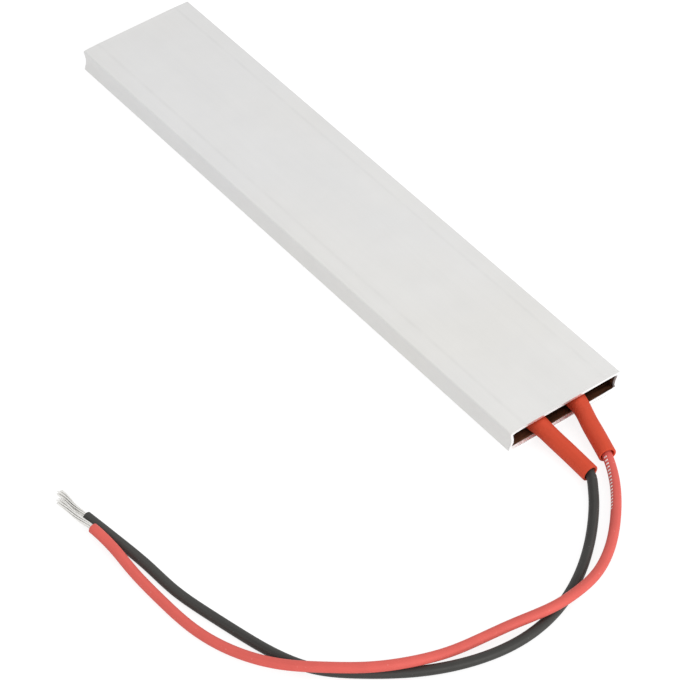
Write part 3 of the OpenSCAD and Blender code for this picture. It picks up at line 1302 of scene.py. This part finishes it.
@dataclass
class FilmWrap:
    """The film around the core: open at the mouth, folded shut at the far end.

    Attributes:
        near_x: Where its upper folds end in the mouth, in millimetres as all lengths here.
        far_x: Where it is folded shut.
        band_half: Half the width over which its upper and lower faces are level.
        drop: How far they drop past that.
        fold: Size of the fold along its lower edges and of the flap's slant.
        crease: How far a side is folded in at half its height.
        web_width: How far the cut-off upper corners reach across.
        web_room: Room left under the tube's webs.
        cut_back: How much shorter its faces are cut than its folds.
        cut_run: Over what distance from a fold the cut gets there.
        slack: How far it stands off the wall in the mouth.
        slack_left: Share of that which is left deep inside.
        slack_run: Over what distance it settles to that share.
        still_run: Length at the far end where it doesn't ripple.
    """

    near_x: float = 54.75
    far_x: float = -54.5
    half: float = 10.0
    low: float = 0.45
    high: float = 3.85
    band_half: float = 7.9
    drop: float = 0.09
    fold: float = 0.16
    crease: float = 0.33
    web_width: float = 0.5
    web_height: float = 0.15
    web_room: float = 0.04
    cut_back: float = 0.07
    cut_run: float = 1.3
    cut_wave: float = 0.05
    mouth_slant: float = 0.4
    thickness: float = 0.1
    slack: float = 0.07
    slack_left: float = 0.15
    slack_run: float = 5.0
    still_run: float = 1.0
    steps: int = 90
    cuts: int = 17
    sharp_from: float = 35.0

    def section(self) -> list[Pair]:
        """Shapes the outside of the film.

        Returns:
            The section's right half, upwards.
        """
        fold_y, top = self.half - self.fold, self.high - self.drop
        return [(self.band_half, self.low), (fold_y, self.low + self.drop),
                (self.half, self.low + self.drop + self.fold),
                (self.half - self.crease, (self.low + self.high) / 2),
                (self.half, top - self.web_height - self.web_room),
                (self.half - self.web_width, top), (self.band_half, self.high)]

    def ripple(self, place: Vector) -> float:
        """Finds how far the film stands off the tube's wall.

        Args:
            place: A place on the film.

        Returns:
            The distance, which changes in slow waves.
        """
        near_mouth = math.exp(-(self.near_x - place.x) / self.slack_run)
        wave = noise.noise(Vector((place.x * 0.35, place.y * 0.8, place.z * 0.5 + 3.0)))
        return self.slack * (self.slack_left + near_mouth) * clamp(0.5 + wave)

    def cut_at(self, place: Vector) -> float:
        """Finds how much shorter the film is cut than at its upper folds.

        Args:
            place: A place on its rim.

        Returns:
            The difference in length.
        """
        share = eased((self.half - abs(place.y)) / self.cut_run)
        wave = noise.noise(Vector((2.0, place.y * 0.7, place.z)))
        slant = self.mouth_slant * (self.high + self.low - place.z) / (self.high + self.low)
        return self.cut_back * share + self.cut_wave * wave + slant

    def build(self, material: bpy.types.Material) -> bpy.types.Object:
        """Builds the film.

        Args:
            material: Its finish.

        Returns:
            The finished piece.
        """
        mesh = bmesh.new()
        _, rim = draw_loop(mesh, self.far_x, self.section())
        bmesh.ops.subdivide_edges(mesh, cuts=self.cuts, edges=[
            edge for edge in rim if edge.calc_length() > self.band_half])
        rim = list(mesh.edges)
        for _ in range(self.steps):
            rim = grow(mesh, rim, (self.near_x - self.far_x) / self.steps)
        closed = [edge for edge in rim_edges(mesh) if edge.verts[0].co.x < 0]
        bmesh.ops.holes_fill(mesh, edges=closed, sides=0)
        bmesh.ops.recalc_face_normals(mesh, faces=list(mesh.faces))
        mesh.normal_update()
        inwards = {vert: -self.ripple(vert.co) * vert.normal for vert in mesh.verts
                   if vert.co.x > self.far_x + self.still_run}
        for vert, step in inwards.items():
            vert.co += Vector((0.0, step.y, step.z))
        for vert in {vert for edge in rim for vert in edge.verts}:
            vert.co.x -= self.cut_at(vert.co)
        bmesh.ops.solidify(mesh, geom=list(mesh.faces), thickness=self.thickness)
        self.add_flap(mesh)
        piece = finished(mesh, "film_wrap", [material], self.sharp_from)
        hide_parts("insulating_film")
        return piece

    def add_flap(self, mesh: Mesh) -> None:
        """Adds the flap that closes the fold at the far end.

        Args:
            mesh: The film.
        """
        middle = (self.low + self.high) / 2
        top = middle + (self.high - self.low) / 4
        corners = [(-self.band_half, self.low), (self.band_half, self.low),
                   (self.band_half - self.fold, top), (-self.band_half + self.fold, top)]
        verts = [mesh.verts.new((self.far_x, y, z)) for y, z in corners]
        flap = mesh.faces.new(verts)
        grown = bmesh.ops.extrude_face_region(mesh, geom=[flap])["geom"]
        fresh = [item for item in grown if isinstance(item, bmesh.types.BMVert)]
        bmesh.ops.translate(mesh, vec=(-self.thickness, 0.0, 0.0), verts=fresh)
        limit = self.far_x + 1e-4
        shell = [face for face in mesh.faces if all(vert.co.x < limit for vert in face.verts)]
        bmesh.ops.recalc_face_normals(mesh, faces=shell)


# --- the leads


class LeadColour(Enum):
    """The two leads."""

    RED = "red"
    BLACK = "black"


@dataclass(frozen=True)
class LeadPlan:
    """Where one lead lies. Distances are from the mouth of the tube, in millimetres.

    Attributes:
        colour: Which lead it is.
        lead_y: Place of its joint across the tube.
        start: First route points: distance, place across, height.
        laid: Further ones: distance, place across, lift in lead diameters.
        tip: Route points of the bare wires, from the end of the jacket.
        sleeve: Route points of the sleeve.
        sleeve_trim: How much shorter than its route the sleeve is cut.
        sleeve_aside: How far across the sleeve leans in the mouth, away from its route.
    """

    colour: LeadColour
    lead_y: float
    start: tuple[Point, ...]
    laid: tuple[Point, ...]
    tip: tuple[Point, ...]
    sleeve: tuple[Point, ...]
    sleeve_trim: float
    sleeve_aside: float


RED_PLAN = LeadPlan(
    colour=LeadColour.RED,
    lead_y=2.8,
    start=((-4, 2.8, 2.15), (-1, 2.8, 2.15), (4, 1.5, 2.05), (10, -0.2, 1.4)),
    laid=((14.8, -2.8, 0), (19.3, -6.7, 0), (23.4, -11.1, 0.1), (26.6, -16.2, 0.5),
          (28.1, -21.1, 1.1), (28.5, -26.4, 1.2), (26.6, -31.8, 0.6), (25.4, -37.5, 0.1),
          (25.1, -42.9, 0.5), (23.6, -48.9, 1.1), (21, -53.7, 1.1), (17.4, -57.9, 1),
          (12.4, -62.8, 0.5), (6, -66.1, 0.1), (-0.5, -67.9, 0), (-7.5, -68.2, 0),
          (-14.5, -68.4, 0.1), (-19, -68.05, 0.45), (-24.6, -68.5, 0.75)),
    tip=((-2.3, -0.5, -0.4), (-5, -0.3, -0.8), (-7.7, -0.35, -1.2)),
    sleeve=((-8, 2.8, 2.15), (-4, 2.8, 2.15), (0, 2.45, 2.15), (5.5, 0.95, 1.9),
            (10.3, -0.47, 1.42)),
    sleeve_trim=0.35,
    sleeve_aside=0.34,
)
BLACK_PLAN = LeadPlan(
    colour=LeadColour.BLACK,
    lead_y=-4.8,
    start=((-4, -4.8, 2.15), (0, -4.8, 2.15), (4.5, -4.85, 2), (9, -4.75, 1.6),
           (11.4, -4.55, 1.35), (13.1, -5.9, 1)),
    laid=((15, -7.2, 0), (18.8, -10.7, 0), (22.7, -15.2, 0), (25.9, -20.1, 0),
          (28.2, -25.6, 0), (29.2, -31.5, 0), (28.7, -37.4, 0), (26.9, -43.3, 0),
          (24.1, -48.7, 0), (20.3, -53.8, 0), (15.9, -58.9, 0), (9.9, -61.6, 0),
          (4, -63.1, 0), (-2, -64.5, 0), (-8, -65.8, 0), (-14, -65.8, 0), (-20, -66.5, 0),
          (-28.4, -67.55, 0)),
    tip=((-1.7, -0.3, 0), (-3.5, -0.05, 0), (-5.3, -0.28, 0)),
    sleeve=((-8, -4.8, 2.15), (-4, -4.8, 2.15), (0, -4.92, 2.15), (6, -4.78, 1.9),
            (11.4, -4.74, 1.42)),
    sleeve_trim=0.2,
    sleeve_aside=0.1,
)


@dataclass(frozen=True)
class WireLay:
    """How one wire lies in its bundle. Lengths are in millimetres, angles in radians.

    Attributes:
        reach: Its distance from the bundle's middle.
        phase: Its angle around the middle.
        twist: How far it turns along the bundle.
        splay: How much further out it is at the tip, as a share of the reach.
        stray: How far it turns away from its neighbours at the tip.
        drift: How far it moves out from them there.
    """

    reach: float
    phase: float
    twist: float = 0.0
    splay: float = 0.0
    stray: float = 0.0
    drift: float = 0.0

    def at(self, share: float) -> Pair:
        """Finds the wire in the bundle's section.

        Args:
            share: The share of the way along the bundle.

        Returns:
            Its place, sideways and upwards.
        """
        turn = self.phase + self.twist * share + self.stray * share * share
        reach = self.reach * (1.0 + self.splay * share * share) + self.drift * share ** 3
        return reach * math.cos(turn), reach * math.sin(turn)


@dataclass
class Lead:
    """One lead with its sleeve and its bare wires, in millimetres.

    Attributes:
        mid_height: Height of the joints in the tube.
        jacket_share: The most that a ring has of the solid's size.
        jacket_wobble: How much less it may have.
        bore_room: Room around the wires in the jacket's cut end.
        sleeve_flat_half: Half the sleeve's width in the mouth.
        sleeve_flat_rise: Half its height there.
        sleeve_round_start: Where it starts to get round, from the mouth.
        sleeve_round_run: Over what distance it gets round.
        sleeve_lean_run: Over what distance it leans back onto its route.
        flat_squareness: Power that squares the section up in the mouth.
        wire_tuck: How far the bare end reaches back into the jacket, in guide points.
        uneven_cut: How unevenly the wires are cut.
        splays: The least and the most splay of a wire.
        strays: The same of how far it strays.
        drifts: The same of how far it drifts.
        crimp_xs: Guide points of the wires in the crimp, along the tube.
        crimp_spare: How much shorter than those the wires are.
        wire_room: Room around the inner wires.
    """

    plan: LeadPlan
    mouth_x: float = 55.0
    mid_height: float = 2.15
    diameter: float = 1.6
    surface_gap: float = 0.01
    jacket_lip: float = 0.05
    jacket_share: float = 0.99
    jacket_wobble: float = 0.012
    bore_room: float = 0.04
    bore_depth: float = 1.0
    sleeve_diameter: float = 2.8
    sleeve_wall: float = 0.35
    sleeve_lip: float = 0.09
    sleeve_flat_half: float = 2.0
    sleeve_flat_rise: float = 1.4
    sleeve_round_start: float = -6.0
    sleeve_round_run: float = 8.0
    sleeve_lean_run: float = 4.6
    sleeve_wobble: float = 0.02
    flat_squareness: float = 0.75
    bundle_radius: float = 0.45
    wire_diameter: float = 0.22
    wire_twist: float = 80.0
    wire_tuck: float = 0.12
    uneven_cut: float = 0.55
    splays: Pair = (0.05, 0.35)
    strays: Pair = (-0.3, 0.3)
    drifts: Pair = (0.0, 0.06)
    crimp_xs: tuple[float, ...] = (47.6, 49.3, 51.0)
    crimp_spare: float = 0.02
    wire_room: float = 0.002
    inner_wires: int = 3
    outer_wires: int = 8
    jacket_rings: int = 190
    jacket_sides: int = 28
    sleeve_rings: int = 56
    bore_rings: int = 40
    sleeve_sides: int = 48
    wire_rings: int = 34
    wire_sides: int = 10
    path_points: int = 120
    sharp_from: float = 50.0
    draws: random.Random = field(init=False)

    def __post_init__(self) -> None:
        """Seeds the lead's own random draws."""
        self.draws = random.Random(SEED + len(self.plan.laid))

    @property
    def name(self) -> str:
        """The lead's colour as it stands in its pieces' names."""
        return self.plan.colour.value

    def at_mouth(self, point: Point) -> Vector:
        """A point given from the mouth, in the tube's frame."""
        return Vector((self.mouth_x + point[0], point[1], point[2]))

    def whole_route(self) -> Route:
        """Lays the route out from inside the mouth to the tips of the bare wires.

        Returns:
            The route.
        """
        points = [self.at_mouth(point) for point in self.plan.start]
        for x, y, lift in self.plan.laid:
            height = self.surface_gap + self.diameter / 2 + lift * self.diameter
            points.append(self.at_mouth((x, y, height)))
        end = points[-1]
        points += [end + Vector(step) for step in self.plan.tip]
        return Route(tuple(points))

    @property
    def jacket_last(self) -> float:
        """Place on the route where the jacket ends."""
        return float(len(self.plan.start) + len(self.plan.laid) - 1)

    def build_jacket(self, material: bpy.types.Material) -> bpy.types.Object:
        """Builds the insulation, with a cut end that the wires come out of.

        Args:
            material: Its finish.

        Returns:
            The finished piece.
        """
        route = self.whole_route()
        ruler = Ruler(route, 0.0, self.jacket_last)
        length, lip = ruler.length, self.jacket_lip
        bore = self.diameter / 2 - self.bundle_radius - self.bore_room
        stations = [Station(0.0, bore), Station(0.0, lip),
                    *run_of(lip, length - lip, self.jacket_rings),
                    Station(length - lip * ROUNDING, lip * ROUNDING), Station(length, lip),
                    Station(length, bore - lip), Station(length - lip, bore),
                    Station(length - self.bore_depth, bore)]
        tube = lay_skin(route, ruler, stations, self.jacket_sides, self.jacket_section)
        fill_ends(tube)
        piece = finished(tube, f"{self.name}_jacket", [material], self.sharp_from)
        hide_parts(f"{self.name}_lead")
        return piece

    def jacket_section(self, ring: Station, side: float, up: float) -> Pair:
        """Finds a point of the jacket's section, nearly round as extruded rubber is.

        Args:
            ring: The ring.
            side: The unit circle's point, sideways.
            up: The same, upwards.

        Returns:
            The point, sideways and upwards.
        """
        shift = self.plan.lead_y * 7.3
        wave = noise.noise(Vector((ring.distance * 0.09 + shift, side * 0.6, up * 0.6)))
        share = self.jacket_share - self.jacket_wobble * (0.5 + 0.5 * wave)
        reach = (self.diameter / 2 - ring.inset) * share
        return side * reach, up * reach

    def sleeve_section(self, ring: Station, side: float, up: float, past_mouth: float) -> Pair:
        """Finds a point of the sleeve's section: flat in the mouth and round outside it.

        Args:
            ring: The ring.
            side: The unit circle's point, sideways.
            up: The same, upwards.
            past_mouth: How far the ring is outside the mouth.

        Returns:
            The point, sideways and upwards.
        """
        share = eased((past_mouth - self.sleeve_round_start) / self.sleeve_round_run)
        radius = self.sleeve_diameter / 2
        across = self.sleeve_flat_half * (1 - share) + radius * share - ring.inset
        rise = self.sleeve_flat_rise * (1 - share) + radius * share - ring.inset
        power = self.flat_squareness * (1 - share) + share
        wave = noise.noise(Vector((ring.distance * 0.22 + self.plan.lead_y,
                                   side * 0.9, up * 0.9)))
        thin = 1.0 - self.sleeve_wobble * (0.5 + 0.5 * wave)
        return (across * math.copysign(abs(side) ** power, side) * thin,
                rise * math.copysign(abs(up) ** power, up) * thin)

    def build_sleeve(self, material: bpy.types.Material) -> bpy.types.Object:
        """Builds the sleeve with its wall and a soft cut lip.

        Args:
            material: Its finish.

        Returns:
            The finished piece.
        """
        route = Route(tuple(self.at_mouth(point) for point in self.plan.sleeve))
        ruler = Ruler(route, 0.0, float(len(self.plan.sleeve) - 1))
        length, lip = ruler.length - self.plan.sleeve_trim, self.sleeve_lip
        wall = self.sleeve_wall
        stations = [*run_of(0.0, length - lip, self.sleeve_rings),
                    Station(length - lip * ROUNDING, lip * ROUNDING),
                    Station(length, lip), Station(length, wall - lip),
                    Station(length - lip * ROUNDING, wall - lip * ROUNDING),
                    *run_of(length - lip, 0.0, self.bore_rings, wall)]

        def section(ring: Station, side: float, up: float) -> Pair:
            """The section at a ring, by how far it is outside the mouth."""
            past_mouth = route.at(ruler.place(ring.distance)).x - self.mouth_x
            return self.sleeve_section(ring, side, up, past_mouth)

        tube = lay_skin(route, ruler, stations, self.sleeve_sides, section)
        for vert in tube.verts:
            back = eased((vert.co.x - self.mouth_x) / self.sleeve_lean_run)
            vert.co.y += self.plan.sleeve_aside * (1.0 - back)
        bmesh.ops.bridge_loops(tube, edges=rim_edges(tube))
        bmesh.ops.recalc_face_normals(tube, faces=list(tube.faces))
        piece = finished(tube, f"{self.name}_sleeve", [material], self.sharp_from)
        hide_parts(f"{self.name}_lead_sleeve")
        return piece

    def wire_places(self) -> list[Pair]:
        """Lays the wires out in two rings around the bundle's middle.

        Returns:
            Distance from the middle and angle of each wire.
        """
        inner = self.wire_diameter / math.sqrt(3) + self.wire_room
        outer = self.bundle_radius - self.wire_diameter / 2
        return [(reach, math.tau * k / count)
                for reach, count in ((inner, self.inner_wires), (outer, self.outer_wires))
                for k in range(count)]

    def add_wire(self, bundle: Mesh, route: Route, ruler: Ruler, lay: WireLay,
                 length: float) -> None:
        """Adds one wire with a rounded tip.

        Args:
            bundle: The bundle.
            route: The route of the bundle's middle.
            ruler: The measured stretch of it.
            lay: How the wire lies in the bundle.
            length: The wire's length.
        """
        radius = self.wire_diameter / 2
        stations = [Station(0.0), *run_of(0.0, length - radius * 0.5, self.wire_rings),
                    Station(length - radius * 0.15, radius * 0.3),
                    Station(length, radius * 0.75)]

        def section(ring: Station, side: float, up: float) -> Pair:
            """The point of the wire's ring."""
            (across, rise), reach = lay.at(ring.distance / length), radius - ring.inset
            return across + side * reach, rise + up * reach

        wire = lay_skin(route, ruler, stations, self.wire_sides, section)
        fill_ends(wire)
        held = bpy.data.meshes.new("wire")
        wire.to_mesh(held)
        wire.free()
        bundle.from_mesh(held)
        bpy.data.meshes.remove(held)

    def build_wires(self, material: bpy.types.Material) -> bpy.types.Object:
        """Builds the bare wires: twisted at the free end, straight in the crimp.

        Args:
            material: Their finish.

        Returns:
            The finished piece.
        """
        bundle = bmesh.new()
        bundle.verts.layers.float_vector.new(UNBENT)
        route = self.whole_route()
        free = Ruler(route, self.jacket_last - self.wire_tuck, float(len(route.points) - 1))
        crimped = Route(tuple(Vector((x, self.plan.lead_y, self.mid_height))
                              for x in self.crimp_xs))
        inside = Ruler(crimped, 0.0, float(len(self.crimp_xs) - 1))
        for reach, phase in self.wire_places():
            twisted = WireLay(reach, phase, math.radians(self.wire_twist),
                              splay=self.draws.uniform(*self.splays),
                              stray=self.draws.uniform(*self.strays),
                              drift=self.draws.uniform(*self.drifts))
            cut = free.length - self.draws.uniform(0.0, self.uneven_cut)
            self.add_wire(bundle, route, free, twisted, cut)
            self.add_wire(bundle, crimped, inside, WireLay(reach, phase),
                          inside.length - self.crimp_spare)
        piece = finished(bundle, f"{self.name}_bare_wires", [material], self.sharp_from)
        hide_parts(f"{self.name}_lead_strands")
        return piece

    def declare(self, jacket: bpy.types.Object, riders: Sequence[bpy.types.Object]) -> None:
        """Measures the jacket's route and logs its length.

        Args:
            jacket: The jacket.
            riders: The pieces on it; not used.
        """
        route = self.whole_route()
        ruler = Ruler(route, 0.0, self.jacket_last)
        count = self.path_points
        path = [route.at(ruler.place(ruler.length * i / (count - 1))) * MM for i in range(count)]
        LOG.info("%s: %.1f mm of insulated lead", jacket.name, ruler.length)


# --- the studio


@dataclass
class PhotoCamera:
    """The photograph's viewpoint. Angles are in degrees, lengths in millimetres."""

    azimuth: float = 52.319
    elevation: float = 44.794
    distance: float = 536.76
    right: float = 0.186
    up: float = -18.464
    lens: float = 180.20
    sensor: float = 36.0

    def build(self) -> bpy.types.Object:
        """Makes the scene's camera.

        Returns:
            The camera.
        """
        around, tilt = math.radians(self.azimuth), math.radians(self.elevation)
        back = Vector((math.sin(around) * math.cos(tilt), -math.cos(around) * math.cos(tilt),
                       math.sin(tilt)))
        right = Vector((math.cos(around), math.sin(around), 0.0))
        up = back.cross(right)
        data = bpy.data.cameras.new("photo_camera")
        data.lens = self.lens
        data.sensor_width = self.sensor
        data.clip_start = 0.01
        data.clip_end = 20.0
        camera = bpy.data.objects.new("photo_camera", data)
        camera.matrix_world = Matrix.Translation(
            (back * self.distance + right * self.right + up * self.up) * MM
        ) @ Matrix((right, up, back)).transposed().to_4x4()
        bpy.context.scene.collection.objects.link(camera)
        bpy.context.scene.camera = camera
        return camera


@dataclass
class Lamp:
    """One soft area lamp. Places are in metres."""

    name: str
    place: Point
    size: float
    power: float
    aim: Point = (0.01, -0.02, 0.0)

    def build(self) -> bpy.types.Object:
        """Makes the lamp, aimed at the part.

        Returns:
            The lamp.
        """
        data = bpy.data.lights.new(self.name, "AREA")
        data.shape = "DISK"
        data.size = self.size
        data.energy = self.power
        lamp = bpy.data.objects.new(self.name, data)
        lamp.location = self.place
        towards = Vector(self.aim) - Vector(self.place)
        lamp.rotation_euler = towards.to_track_quat("-Z", "Y").to_euler()
        bpy.context.scene.collection.objects.link(lamp)
        return lamp


@dataclass
class Studio:
    """A pale floor, a white surround and soft lamps.

    Attributes:
        floor_size: Side of the floor in metres.
        floor_albedo: Share of the light that the floor throws back onto the part.
        floor_mottle: How much that share changes over the floor.
        floor_glow: Brightness of the floor to look at, without the lamps.
        shadow_share: How much of the lamps' light shows on it, and so of the shadow.
        floor_gap: Room between the floor and the part, in millimetres.
        surround: Strength of the even light.
        lamps: The lamps.
    """

    floor_size: float = 4.0
    floor_albedo: float = 0.82
    floor_mottle: float = 0.006
    floor_glow: float = 0.837
    shadow_share: float = 0.28
    floor_gap: float = 0.01
    surround: float = 0.75
    lamps: tuple[Lamp, ...] = (
        Lamp("key_lamp", (1.5, 0.0, 0.7), 0.8, 10.4),
        Lamp("side_lamp", (0.1, 1.0, 0.7), 0.6, 0.9),
    )

    @staticmethod
    def seen_white(graph: Graph) -> Socket:
        """Builds the mask of rays that see the surroundings as the background.

        Args:
            graph: The graph to add it to.

        Returns:
            A socket that is 1 for camera, glossy and transmission rays.
        """
        rays = graph.add("ShaderNodeLightPath").outputs
        mirror = graph.math("MAXIMUM", rays["Is Glossy Ray"], rays["Is Transmission Ray"])
        return graph.math("MAXIMUM", rays["Is Camera Ray"], mirror)

    def build_floor(self) -> bpy.types.Object:
        """Makes the floor, which looks white but keeps the part's shadow.

        Returns:
            The floor.
        """
        material = bpy.data.materials.new("pale_floor")
        material.use_nodes = True
        graph = Graph(material.node_tree)
        cloud = graph.speckle(graph.on_object(), scale=60.0, detail=2.0)
        tone = graph.vary(cloud, self.floor_albedo, self.floor_mottle)
        paper = graph.add("ShaderNodeCombineColor")
        for channel in range(3):
            graph.feed(paper.inputs[channel], tone)
        matt = graph.add("ShaderNodeBsdfDiffuse")
        graph.feed(matt.inputs["Color"], paper.outputs[0])
        glow = graph.add("ShaderNodeEmission")
        graph.feed(glow.inputs["Strength"], self.floor_glow)
        shadow = graph.add("ShaderNodeBsdfDiffuse")
        graph.feed(shadow.inputs["Color"], rgba((self.shadow_share,) * 3))
        seen = graph.add("ShaderNodeAddShader")
        graph.feed(seen.inputs[0], glow.outputs[0])
        graph.feed(seen.inputs[1], shadow.outputs[0])
        join = graph.add("ShaderNodeMixShader")
        for slot, source in enumerate((self.seen_white(graph), matt.outputs[0],
                                       seen.outputs[0])):
            graph.feed(join.inputs[slot], source)
        output = graph.add("ShaderNodeOutputMaterial")
        graph.feed(output.inputs["Surface"], join.outputs[0])
        mesh = bmesh.new()
        bmesh.ops.create_grid(mesh, x_segments=4, y_segments=4, size=self.floor_size / 2)
        bmesh.ops.translate(mesh, vec=(0.0, 0.0, -self.floor_gap * MM), verts=list(mesh.verts))
        floor = placed(mesh, "floor", [material])
        return floor

    def build_surround(self) -> None:
        """Makes the world: white to look at, and a plain even light."""
        world = bpy.data.worlds.new("surround")
        world.use_nodes = True
        bpy.context.scene.world = world
        graph = Graph(world.node_tree)
        light = graph.add("ShaderNodeBackground")
        graph.feed(light.inputs["Color"], WHITE)
        graph.feed(light.inputs["Strength"],
                   graph.remap(self.seen_white(graph), 0.0, 1.0, self.surround, 1.0))
        output = graph.add("ShaderNodeOutputWorld")
        graph.feed(output.inputs["Surface"], light.outputs[0])

    def build(self) -> None:
        """Makes the whole studio."""
        bpy.context.scene.view_settings.view_transform = "Standard"
        self.build_floor()
        self.build_surround()
        for lamp in self.lamps:
            lamp.build()


# --- the whole part


@dataclass
class HeatingCore:
    """The carried-over solids inside the film, which only need their finishes."""

    strips: tuple[str, ...] = ("upper_electrode", "lower_electrode")
    tiles: tuple[str, ...] = ("ptc_tile_1", "ptc_tile_2", "ptc_tile_3", "ptc_tile_4")
    crimps: tuple[str, ...] = ("red_crimp_band", "black_crimp_band")

    def dress(self, nodes: dict[str, bpy.types.Object], effects: Effects) -> None:
        """Gives each solid its finish.

        Args:
            nodes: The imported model's objects by name.
            effects: The shared node groups.
        """
        strip = SheetMetal("strip_metal", (0.78, 0.78, 0.77), 0.4).build(effects)
        tile = FiredCeramic("fired_ceramic", (0.09, 0.09, 0.095), 0.75).build(effects)
        crimp = SheetMetal("crimp_metal", (0.72, 0.58, 0.3), 0.32).build(effects)
        for names, material in ((self.strips, strip), (self.tiles, tile), (self.crimps, crimp)):
            for name in names:
                data = nodes[name].data
                data.materials.clear()
                data.materials.append(material)
                LOG.info("%s: dressed in %s", name, material.name)


@dataclass
class Heater:
    """The whole heater."""

    tube: PressedTube = field(default_factory=PressedTube)
    film: FilmWrap = field(default_factory=FilmWrap)
    core: HeatingCore = field(default_factory=HeatingCore)

    @staticmethod
    def lead_finishes(effects: Effects) -> dict[LeadColour, bpy.types.Material]:
        """Builds the finish of each lead's jacket.

        Args:
            effects: The shared node groups.

        Returns:
            The materials by lead.
        """
        ticks = TickMarks(first=14.6, last=25.0, pitch=0.62, share=0.42, angle=46.0, drift=-2.0,
                          spread=20.0)
        red = Silicone("red_silicone", (0.73, 0.124, 0.102), 0.6, specular=0.27, streak=0.1,
                       dust=(0.9, 0.45, 0.4), marks=ticks)
        black = Silicone("black_silicone", (0.042, 0.041, 0.038), 0.55, specular=0.29,
                         streak=0.5, dust=(0.2, 0.2, 0.2))
        return {LeadColour.RED: red.build(effects), LeadColour.BLACK: black.build(effects)}

    def build(self, nodes: dict[str, bpy.types.Object]) -> None:
        """Builds every piece in order, cords first.

        Args:
            nodes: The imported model's objects by name.
        """
        effects = Effects()
        jackets = self.lead_finishes(effects)
        sleeve = Silicone("sleeve_silicone", (0.66, 0.073, 0.031), 0.62, specular=0.22,
                          streak=0.08, grain_depth=0.03, dust=(0.75, 0.25, 0.16)).build(effects)
        # The wires' slight warm tint is partly the tin's own colour and partly a painted
        # reflection of the red lead.
        wire = TinnedWire("tinned_wire", (0.8, 0.79, 0.765), 0.3).build(effects)
        for plan in (RED_PLAN, BLACK_PLAN):
            lead = Lead(plan)
            jacket = lead.build_jacket(jackets[plan.colour])
            lead.declare(jacket, [lead.build_sleeve(sleeve), lead.build_wires(wire)])
        skin = DrawnAluminium("drawn_aluminium", (0.805, 0.803, 0.8), 0.55).build(effects)
        rim = SheetMetal("sawn_aluminium", (0.97, 0.97, 0.97), 0.28, metallic=0.7,
                         depth=0.0015, tone=0.03).build(effects)
        self.tube.build(skin, rim)
        amber = AmberFilm("amber_film", (0.05, 0.021, 0.011), 0.3)
        self.film.build(amber.build(effects))
        self.core.dress(nodes, effects)


def main() -> None:
    """Builds the camera, the heater and the studio."""
    logging.basicConfig(level=logging.INFO, format="%(name)s: %(message)s")
    PhotoCamera().build()
    Heater().build(frame["nodes"])
    Studio().build()


if __name__ == "__main__":
    main()
